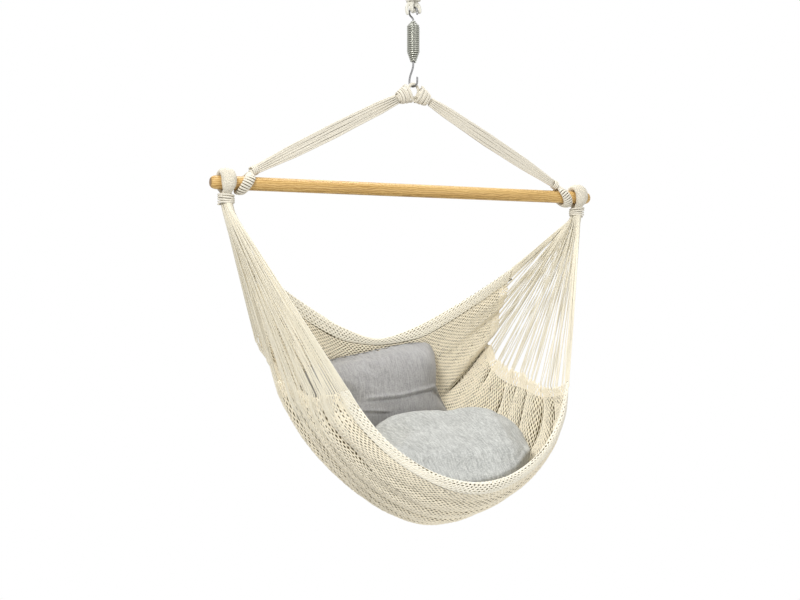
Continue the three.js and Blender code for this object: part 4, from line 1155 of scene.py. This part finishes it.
def arm_strings(word, side, pairs, apart, crowd, run_on):
    cords = CordMesh()
    root_top = np.array([side * loop_across, 0, neck_z - seat_gap])
    share = np.linspace(0, 1, 9)
    root = root_top - np.outer(share * arm_root_length, up)
    root = root - np.outer(side * arm_root_length * share ** 2 * 0.3, across_axis)
    root_radius = neck_width / 2
    root_reach = root_radius - arm_string / 2
    core_radius = root_radius * (arm_core_start - arm_core_taper * share[:6])
    core = CordMesh().tube(root[:6], core_radius, 20, across_axis)
    places = ((np.arange(pairs) + 0.5) / pairs) ** crowd
    run_in = np.linspace(1.0, 1 - run_on, lie_steps) * side
    over, normals, _ = folded(run_in, places)
    points, at = seat_lines(run_in)
    edge = at[:, -1:]
    shares = (np.arange(band_pairs) + 0.5)[None, :] / band_pairs
    front = on_lines(points, at, np.tile(shares * front_band_width, (lie_steps, 1)))
    back = on_lines(points, at, edge - (1 - shares) * back_band_width)
    over = np.concatenate([front, over, back], axis=1)
    normals = np.pad(normals, ((0, 0), (band_pairs, band_pairs), (0, 0)), mode="edge")
    count = over.shape[1]
    ends = over[0]
    for k in range(count):
        turn = (k + 0.5) / count * math.pi
        beside = unit(ends[min(k + 1, count - 1)] - ends[max(k - 1, 0)])
        on_band = k < band_pairs or k >= count - band_pairs
        for twin in (-1, 1):
            ring = 0.95 * math.sqrt(draws.uniform(0.25, 1.0))
            start = root_top + np.array([
                -side * math.sin(turn) * root_reach * ring * twin, -math.cos(turn) * root_reach, 0.0004])
            leave = start - up * arm_straight
            end = ends[k] + beside * apart * twin - normals[0, k] * arm_end_sink
            t = np.linspace(0, 1, 15)[:, None]
            straight = between(leave, end, t)
            sag = arm_sag * draws.standard_normal() * np.sin(math.pi * t) * depth_axis
            outward = arm_spread * draws.standard_normal() * np.sin(math.pi * t) * across_axis
            path = np.concatenate([start[None, :], straight + sag + outward])
            path = rounded(resampled(path, 34), 3)
            reach = 2 if on_band else 2 + int(draws.integers(0, 4))
            fade = np.linspace(1, 0, reach)[:, None] ** 0.5
            lie = over[1:reach + 1, k] - normals[1:reach + 1, k] * fade * arm_lie
            lie = lie + beside * apart * twin * fade
            cords.tube(np.concatenate([path, lie]), arm_string / 2, 5, across_axis)
    return cords.made(f"arm_strings_{word}_pairs"), core.made(f"arm_strings_{word}_core")


# Pairs, half of the gap within a pair, how they crowd to the front, how far the longest run on over the net
for word, side, *strung in (("left", -1, 58, 0.0024, 1.3, 0.26), ("right", 1, 38, 0.0015, 1.0, 0.10)):
    strings, core = arm_strings(word, side, *strung)
    cotton_piece(strings, "seat", string_cotton, f"arm_strings_{word}")
    # The core at the root of the strings is painted dark: painted shade among the strings under the neck.
    cotton_piece(core, "seat", painted_shade_cotton, f"arm_strings_{word}")


# Cushions: the solid is remeshed, swollen like filled cloth on its open side, capped, and smoothed
open_place = np.array([0.0, -0.15, -0.80])
cushion_voxel = 0.006
cushion_shrink = 0.004
cushion_swell = 0.010
cushion_pressure = 3.5
cushion_steps = 20
seam_bins = 180
seam_radius = 0.0013
seam_sink, seam_reach = 0.0016, 0.006
pucker_height, pucker_reach = 0.0011, 0.018
unevenness = 0.0012


def places_of(obj):
    places = np.empty(len(obj.data.vertices) * 3, np.float32)
    obj.data.vertices.foreach_get("co", places)
    return places.reshape(-1, 3).astype(float)


def put_places(obj, places):
    obj.data.vertices.foreach_set("co", places.astype(np.float32).ravel())
    obj.data.update()


def normals_of(obj):
    return np.array([v.normal[:] for v in obj.data.vertices])


def modified(obj, kind, **settings):
    modifier = obj.modifiers.new(kind.lower(), kind)
    for key, value in settings.items():
        setattr(modifier, key, value)
    bpy.ops.object.modifier_apply(modifier=modifier.name)


def swollen(obj, start, normals):
    """Filled out by air pressure, but no further than the cushion has room for."""
    cloth = obj.modifiers.new("filling", "CLOTH")
    cloth.settings.use_pressure = True
    cloth.settings.uniform_pressure_force = cushion_pressure
    cloth.settings.effector_weights.gravity = 0
    cloth.settings.tension_stiffness = cloth.settings.compression_stiffness = 12
    cloth.settings.bending_stiffness = 1.2
    cloth.settings.quality = 6
    cloth.point_cache.frame_end = cushion_steps
    for step in range(1, cushion_steps + 1):
        scene.frame_set(step)
    bpy.ops.object.modifier_apply(modifier="filling")
    scene.frame_set(1)
    way = places_of(obj) - start
    far = np.linalg.norm(way, axis=1, keepdims=True)
    open_share = smooth(0.35 + (normals * unit(open_place - start)).sum(axis=1, keepdims=True))
    room = between(-cushion_shrink, cushion_swell, open_share)
    filled = start + way * np.minimum(1, np.maximum(room, 0) / np.maximum(far, 1e-9))
    put_places(obj, np.where(room > 0, filled, start + normals * room))


def cushion_form(node):
    obj = placed(f"{node}_filled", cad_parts[node].data.copy())
    shaped = bmesh.new()
    shaped.from_mesh(obj.data)
    bmesh.ops.remove_doubles(shaped, verts=shaped.verts, dist=1e-5)
    bmesh.ops.recalc_face_normals(shaped, faces=shaped.faces)
    shaped.to_mesh(obj.data)
    shaped.free()
    only_selected(obj)
    modified(obj, "SUBSURF", levels=2, render_levels=2)
    modified(obj, "REMESH", mode="VOXEL", voxel_size=cushion_voxel)
    start, normals = places_of(obj), normals_of(obj)
    put_places(obj, start - normals * cushion_shrink)
    swollen(obj, start, normals)
    modified(obj, "SUBSURF", levels=1, render_levels=1)
    return smooth_shaded(obj)


def seam_route(places):
    """The way round a cushion's edge, each place's angle round it, and its bin of angles."""
    middle = places.mean(axis=0)
    ways = np.linalg.svd(places - middle, full_matrices=False)[2]
    x, y = (places - middle) @ ways[0], (places - middle) @ ways[1]
    angle = np.arctan2(y, x)
    bin_of = ((angle + math.pi) / (2 * math.pi) * seam_bins).astype(int) % seam_bins
    order = np.lexsort((np.hypot(x, y), bin_of))
    last = np.searchsorted(bin_of[order], np.arange(seam_bins), side="right") - 1
    path = places[order[last]]
    for _ in range(10):
        path = (np.roll(path, 1, axis=0) + 2 * path + np.roll(path, -1, axis=0)) / 4
    return path, angle, bin_of


def dressed_cushion(obj, node, look, slot, bulges, wrinkles=()):
    """Fills out the corners, presses in the wrinkles, puckers the edge and sews the seam round it."""
    places = places_of(obj)
    for middle, reach, push in bulges:
        near = np.exp(-(((places - np.array(middle)) / np.array(reach)) ** 2).sum(axis=1))
        places = places + near[:, None] * np.array(push)
    put_places(obj, places)
    normals = normals_of(obj)
    path, angle, bin_of = seam_route(places)
    inward = np.linalg.norm(places - path[bin_of], axis=1)
    pucker = np.sin(angle * 37 + 2 * np.sin(angle * 5)) * np.exp(-inward / pucker_reach) * pucker_height
    lift = pucker - seam_sink * np.exp(-(inward / seam_reach) ** 2)
    x, z = places[:, 0], places[:, 2]
    lift = lift + unevenness * np.sin(x * 47 + 3 * np.sin(z * 19)) * np.sin(z * 31 + 1)
    for line, width, depth in wrinkles:
        line_x, line_z = np.array(line).T
        ends = smooth((x - line_x[0]) / 0.03) * smooth((line_x[-1] - x) / 0.03)
        off = (z - np.interp(x, line_x, line_z)) / width
        front = smooth(-normals[:, 1] * 2)
        lift = lift + ends * front * depth * (np.exp(-(off - 1.2) ** 2) - 1.3 * np.exp(-(off * 1.8) ** 2))
    put_places(obj, places + normals * lift[:, None])
    finished(obj, f"{node}_body", look, slot, node)
    seam = CordMesh().tube(path, seam_radius, 8, closed=True).made(f"{node}_edge_seam")
    finished(seam, f"{node}_body", look, slot, node)


# Bulges: middle, reach and push; wrinkles: places across and heights of their line, width and depth
seat_cushion = cushion_form("seat_cushion")
dressed_cushion(
    seat_cushion, "seat_cushion", light_grey, "light_grey_cloth",
    (((0.205, -0.12, -1.225), (0.085, 0.13, 0.07), (0.012, 0.0, 0.040)),
     ((0.235, 0.0, -1.195), (0.05, 0.05, 0.05), (-0.004, -0.004, -0.010)),
     ((0.195, -0.31, -1.262), (0.05, 0.05, 0.05), (-0.012, 0.012, 0.0)),
     ((0.205, -0.15, -1.235), (0.06, 0.09, 0.05), (0.016, 0.0, 0.006))))
back_cushion = cushion_form("back_cushion")
dressed_cushion(
    back_cushion, "back_cushion", mid_grey, "mid_grey_cloth",
    (((0.19, 0.14, -1.20), (0.06, 0.10, 0.045), (0.022, -0.004, 0.0)),
     ((0.14, 0.19, -1.01), (0.04, 0.06, 0.04), (0.008, 0.0, 0.012))),
    ((((-0.11, -1.15), (0.0, -1.145), (0.06, -1.135), (0.12, -1.128), (0.16, -1.15), (0.19, -1.19)),
      0.006, 0.005),
     (((-0.13, -1.178), (-0.05, -1.183), (-0.02, -1.186)), 0.005, 0.004)))


# Floor under the chair, white surroundings and soft studio light
floor_radius = 2.0
floor_drop = 2.3
shade_light = 0.48
only_selected()
bpy.ops.mesh.primitive_circle_add(
    vertices=96, radius=floor_radius, fill_type="NGON", location=(0, 0, -floor_drop))
floor = bpy.context.object
floor.name = "studio_floor"
floor_look = Look("pale_floor", 0.8)
floor_place = floor_look.place()
floor_x, floor_y = floor_look.part(floor_place, 0), floor_look.part(floor_place, 1)
floor_fade = (floor_x * floor_x + floor_y * floor_y).ranged(0.3, 3.9)
floor.data.materials.append(floor_look.surface(Base_Color=(0.93, 0.93, 0.93, 1), Alpha=1 - floor_fade))

world = bpy.data.worlds.new("studio")
scene.world = world
world.use_nodes = True
tree = world.node_tree
background = next(n for n in tree.nodes if n.type == "BACKGROUND")
background.inputs["Color"].default_value = (1, 1, 1, 1)
light_path = tree.nodes.new("ShaderNodeLightPath")
seen = light_path.outputs["Is Camera Ray"]
for ray in ("Is Glossy Ray", "Is Transmission Ray"):
    either = tree.nodes.new("ShaderNodeMath")
    either.operation = "MAXIMUM"
    tree.links.new(seen, either.inputs[0])
    tree.links.new(light_path.outputs[ray], either.inputs[1])
    seen = either.outputs[0]
strength = tree.nodes.new("ShaderNodeMapRange")
strength.inputs["To Min"].default_value = shade_light
strength.inputs["To Max"].default_value = 1.0
tree.links.new(seen, strength.inputs["Value"])
tree.links.new(strength.outputs[0], background.inputs["Strength"])


for name, place, aim, size, power in (
        ("key_softbox", (-2.3, -2.3, 0.9), (0.0, -0.1, -1.0), (1.0, 1.0), 78),
        ("fill_softbox", (1.0, -3.3, -1.5), (0.0, -0.1, -1.2), (1.8, 1.2), 30),
        ("top_softbox", (0.2, 0.4, 1.4), (0.0, 0.0, -1.0), (1.4, 1.4), 42)):
    light = bpy.data.lights.new(name, "AREA")
    light.shape, light.size, light.size_y, light.energy = "RECTANGLE", *size, power
    softbox = placed(name, light)
    softbox.location = place
    softbox.rotation_euler = (Vector(aim) - Vector(place)).to_track_quat("-Z", "Y").to_euler()

scene.view_settings.view_transform = "Standard"
